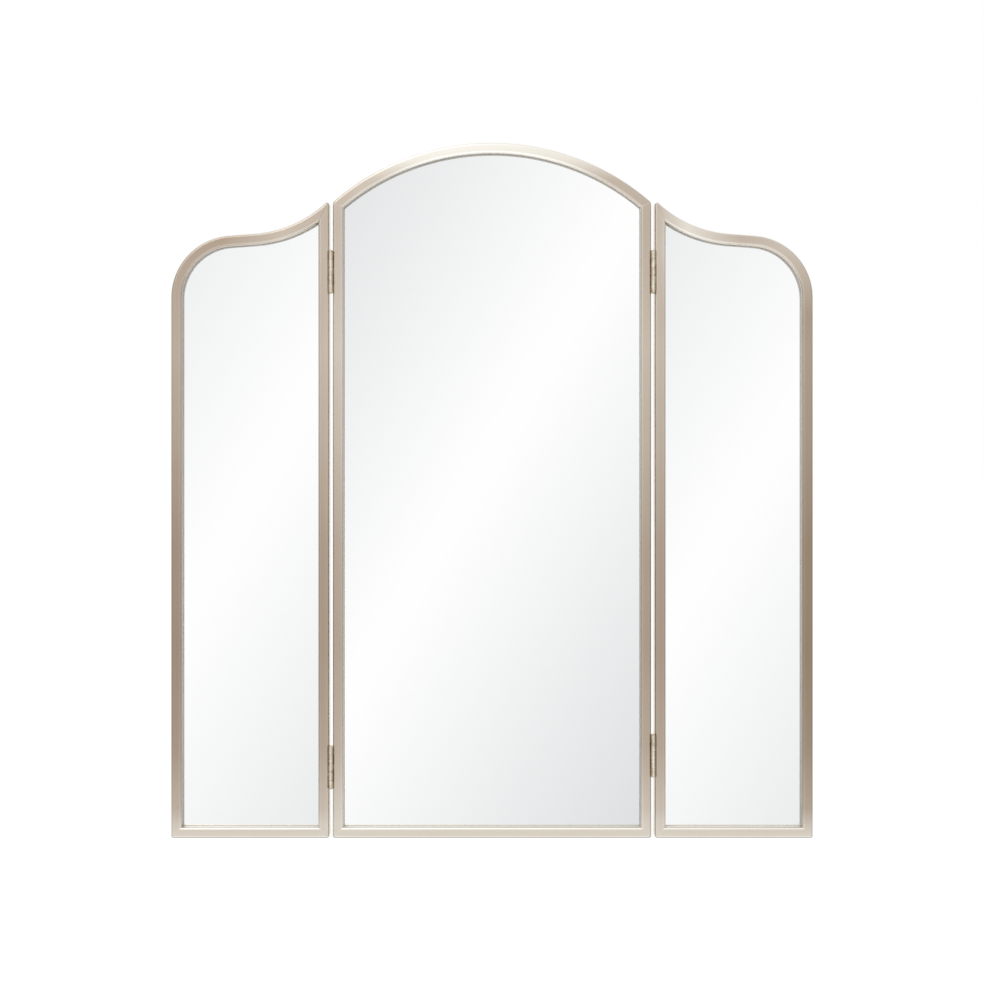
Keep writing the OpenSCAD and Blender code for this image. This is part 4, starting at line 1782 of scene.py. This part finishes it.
@dataclass
class Hinges:
    """The four butt hinges and their screws.

    A leaf's screws stand at screw_y behind the pin and at screw_z above, below and level with the
    hinge's middle. The gap is what the panels leave between them. Upper, lower_left and lower_right
    are the heights of the hinges' middles, and a pin's shaft has rings at pin_ring above and below
    its own middle.
    """

    finishes: Finishes
    pin_x: float = 191.25
    pin_y: float = -11.025
    height: float = 50.0
    pin_r: float = 1.2
    pin_ring: float = 1.0
    pin_steps: int = 40
    dome_steps: int = 7
    head_r: float = 2.2
    head_h: float = 0.9
    leaf: float = 1.5
    gap: float = 4.5
    screw_y: float = 9.5
    screw_z: float = 17.0
    upper: float = 672.0
    lower_left: float = 84.0
    lower_right: float = 98.0

    def heights(self, side: Side) -> dict[str, float]:
        """Gives the height of the middle of a side's hinges."""
        lower = self.lower_left if side is Side.LEFT else self.lower_right
        return {"upper": self.upper, "lower": lower}

    def pin(self) -> Shape:
        """Turns a pin with a domed head at either end: each dome is a quarter of an ellipse.

        Returns:
            The pin, upright at the origin.
        """
        dome, half = np.radians(np.linspace(90, 0, self.dome_steps + 1)), self.height / 2
        cap = np.stack([self.head_r * np.cos(dome), half + self.head_h * np.sin(dome)], -1)
        high = np.vstack([cap, [[self.pin_r, half], [self.pin_r, self.pin_ring]]])
        low = high[::-1] * np.array([1, -1])
        return turned(np.vstack([high, low]), self.pin_steps)

    def screws(self, side: Side, wing: bool) -> Shape:
        """Sets the screws of a side's leaves, on the centre panel or on the wing.

        Args:
            side: which side.
            wing: whether they hold the wing's leaves.

        Returns:
            Six screws, their heads in the gap between the panels.
        """
        face = self.gap / 2 - self.leaf
        inward = 1.0 if wing else -1.0
        turn = np.array([[0, 0, -inward], [0, 1, 0], [1, 0, 0]], float)
        places = [
            np.array([self.pin_x + inward * face, self.pin_y + self.screw_y, z + step])
            for z in self.heights(side).values() for step in (-self.screw_z, 0.0, self.screw_z)
        ]
        return on_side(joined([HINGE_SCREW.shape().moved(turn, p) for p in places]), side, 0.0)

    def build(self) -> None:
        """Builds and dresses the hinges of both sides."""
        wear = self.finishes
        for side in Side:
            label = side.name.lower()
            for where, z in self.heights(side).items():
                hinge = f"{label}_{where}_hinge"
                place = np.array([side.value * self.pin_x, self.pin_y, z])
                make_piece(f"{hinge}_pin_turned", self.pin().moved(np.eye(3), place), wear.pin,
                           Place(Body.CENTRE, "hinge_pin", f"{hinge}_pin"))
                dress(f"{hinge}_centre_leaf", wear.hinge)
                dress(f"{hinge}_wing_leaf", wear.hinge)
            make_piece(f"{label}_wing_leaf_screws", self.screws(side, True), wear.screw,
                       Place(side.wing, "plated_screw", f"{label}_wing_hinge_screws"))
        both = joined([self.screws(side, False) for side in Side])
        make_piece("centre_leaf_screws", both, wear.screw,
                   Place(Body.CENTRE, "plated_screw", "centre_hinge_screws"))


# ---- room


@dataclass(frozen=True)
class Studio:
    """White floor, soft white room, one large lamp and the camera.

    The room's levels are what a reflection shows of it, and top is more than any of them. A way
    into the room is 0 behind the mirror, 0.5 beside it and 1 before it, and above_at and below_at
    are sines of its angle above the level. Soft is the level that lights what doesn't mirror.
    """

    camera_y: float = -2.402
    camera_z: float = 0.41068
    focal_px: float = 2015.8
    frame_px: float = 984.0
    sensor: float = 36.0
    floor: float = 60.0
    floor_grey: float = 0.8
    floor_glow: float = 1.12
    floor_share: float = 0.8
    lamp_place: tuple[float, float, float] = (-1.5, -2.2, 2.6)
    lamp_size: float = 2.2
    lamp_power: float = 22.0
    top: float = 1.3
    by_way: tuple[Span, ...] = (
        (0.0, 1.0), (0.25, 0.85), (0.45, 0.62), (0.75, 0.62), (0.9, 0.85), (0.97, 1.0), (1.0, 1.0),
    )
    above: float = 1.2
    above_at: Span = (0.16, 0.45)
    below_front: float = 1.15
    below_back: float = 0.3
    below_at: Span = (-0.18, -0.4)
    front_at: Span = (0.4, 0.6)
    soft: float = 0.85

    def build(self) -> None:
        """Builds the floor, the room's light and the camera."""
        self.make_floor()
        self.make_room()
        self.make_lamp()
        self.make_camera()

    def make_floor(self) -> None:
        """Lays a white floor that still takes the object's shadow, and that no mirror shows."""
        half = self.floor / 2
        mesh = bpy.data.meshes.new("floor")
        corners = [(-half, -half, 0), (half, -half, 0), (half, half, 0), (-half, half, 0)]
        mesh.from_pydata(corners, [], [[0, 1, 2, 3]])
        material = bpy.data.materials.new("white_floor")
        material.use_nodes = True
        nodes = Nodes(material.node_tree)
        path = nodes.add("ShaderNodeLightPath").outputs
        diffuse = nodes.add("ShaderNodeBsdfDiffuse", Color=(*(self.floor_grey,) * 3, 1))
        glow = nodes.add("ShaderNodeEmission", Color=(1, 1, 1, 1), Strength=self.floor_glow)
        clear = nodes.add("ShaderNodeBsdfTransparent")
        share = nodes.maths("MULTIPLY", path["Is Camera Ray"], self.floor_share)
        seen = nodes.add("ShaderNodeMixShader", in_0=share, in_1=diffuse.outputs[0],
                         in_2=glow.outputs[0])
        mirrored = nodes.maths("MAXIMUM", path["Is Glossy Ray"], path["Is Transmission Ray"])
        both = nodes.add("ShaderNodeMixShader", in_0=mirrored, in_1=seen.outputs[0],
                         in_2=clear.outputs[0])
        nodes.add("ShaderNodeOutputMaterial", Surface=both.outputs[0])
        mesh.materials.append(material)
        floor = bpy.data.objects.new("floor", mesh)
        bpy.context.scene.collection.objects.link(floor)

    def room_level(self, nodes: Nodes) -> Socket:
        """Gives the room's level in a reflection, as a share of its top.

        Args:
            nodes: the world's nodes.

        Returns:
            The level by the way: dim beside the mirror, bright above, bright below before it and
            dark below behind it.
        """
        ray = nodes.add("ShaderNodeTexCoord").outputs["Generated"]
        way = nodes.add("ShaderNodeSeparateXYZ", Vector=ray).outputs
        ahead = nodes.maths("MULTIPLY_ADD", way["Y"], -0.5, 0.5)
        level = nodes.curve(ahead, [(at, v / self.top) for at, v in self.by_way])
        above = nodes.slope(way["Z"], *self.above_at)
        below = nodes.slope(way["Z"], *self.below_at)
        front = nodes.slope(ahead, *self.front_at)
        back = nodes.maths("SUBTRACT", 1.0, front)
        for share, value, blend in (
            (above, self.above, "LIGHTEN"),
            (nodes.maths("MULTIPLY", below, front), self.below_front, "LIGHTEN"),
            (nodes.maths("MULTIPLY", below, back), self.below_back, "MIX"),
        ):
            level = nodes.mix(share, level, (*(value / self.top,) * 3, 1.0), blend)
        return level

    def make_room(self) -> None:
        """Lights the scene from all round, white to the eye and with dim sides in reflections."""
        world = bpy.data.worlds.new("room")
        bpy.context.scene.world = world
        world.use_nodes = True
        nodes = Nodes(world.node_tree)
        path = nodes.add("ShaderNodeLightPath").outputs
        white = (1, 1, 1, 1)
        gloss = nodes.add("ShaderNodeBackground", Color=self.room_level(nodes), Strength=self.top)
        plain = nodes.add("ShaderNodeBackground", Color=white, Strength=1.0)
        soft = nodes.add("ShaderNodeBackground", Color=white, Strength=self.soft)
        either = nodes.add("ShaderNodeMixShader", in_0=path["Is Glossy Ray"],
                           in_1=soft.outputs[0], in_2=gloss.outputs[0])
        clear = nodes.maths("MAXIMUM", path["Is Camera Ray"], path["Is Transmission Ray"])
        full = nodes.add("ShaderNodeMixShader", in_0=clear, in_1=either.outputs[0],
                         in_2=plain.outputs[0])
        nodes.add("ShaderNodeOutputWorld", Surface=full.outputs[0])

    def make_lamp(self) -> None:
        """Hangs a square lamp that faces the middle of the object."""
        data = bpy.data.lights.new("key", "AREA")
        data.shape, data.size, data.energy = "SQUARE", self.lamp_size, self.lamp_power
        lamp = bpy.data.objects.new("key", data)
        aim = np.array([0, 0, self.camera_z]) - np.array(self.lamp_place)
        tilt = math.acos(-aim[2] / np.linalg.norm(aim))
        lamp.location = self.lamp_place
        lamp.rotation_euler = (tilt, 0, math.atan2(-aim[0], aim[1]))
        bpy.context.scene.collection.objects.link(lamp)

    def make_camera(self) -> None:
        """Sets the camera level with the middle of the picture, square to the panels."""
        data = bpy.data.cameras.new("camera")
        data.sensor_fit = "HORIZONTAL"
        data.sensor_width = self.sensor
        data.lens = self.sensor * self.focal_px / self.frame_px
        data.clip_end = 200.0
        camera = bpy.data.objects.new("camera", data)
        camera.location = (0.0, self.camera_y, self.camera_z)
        camera.rotation_euler = (math.pi / 2, 0.0, 0.0)
        bpy.context.scene.collection.objects.link(camera)
        bpy.context.scene.camera = camera


def main() -> None:
    """Builds the room and then the object, piece by piece."""
    logging.basicConfig(level=logging.INFO, format="%(name)s: %(message)s")
    bpy.context.scene.view_settings.view_transform = "Standard"
    Studio().build()
    finishes = Finishes()
    CentrePanel(finishes, CentreShape()).build()
    for side in Side:
        Wing(finishes, WingShape(), side).build()
    Hinges(finishes).build()


if __name__ == "__main__":
    main()
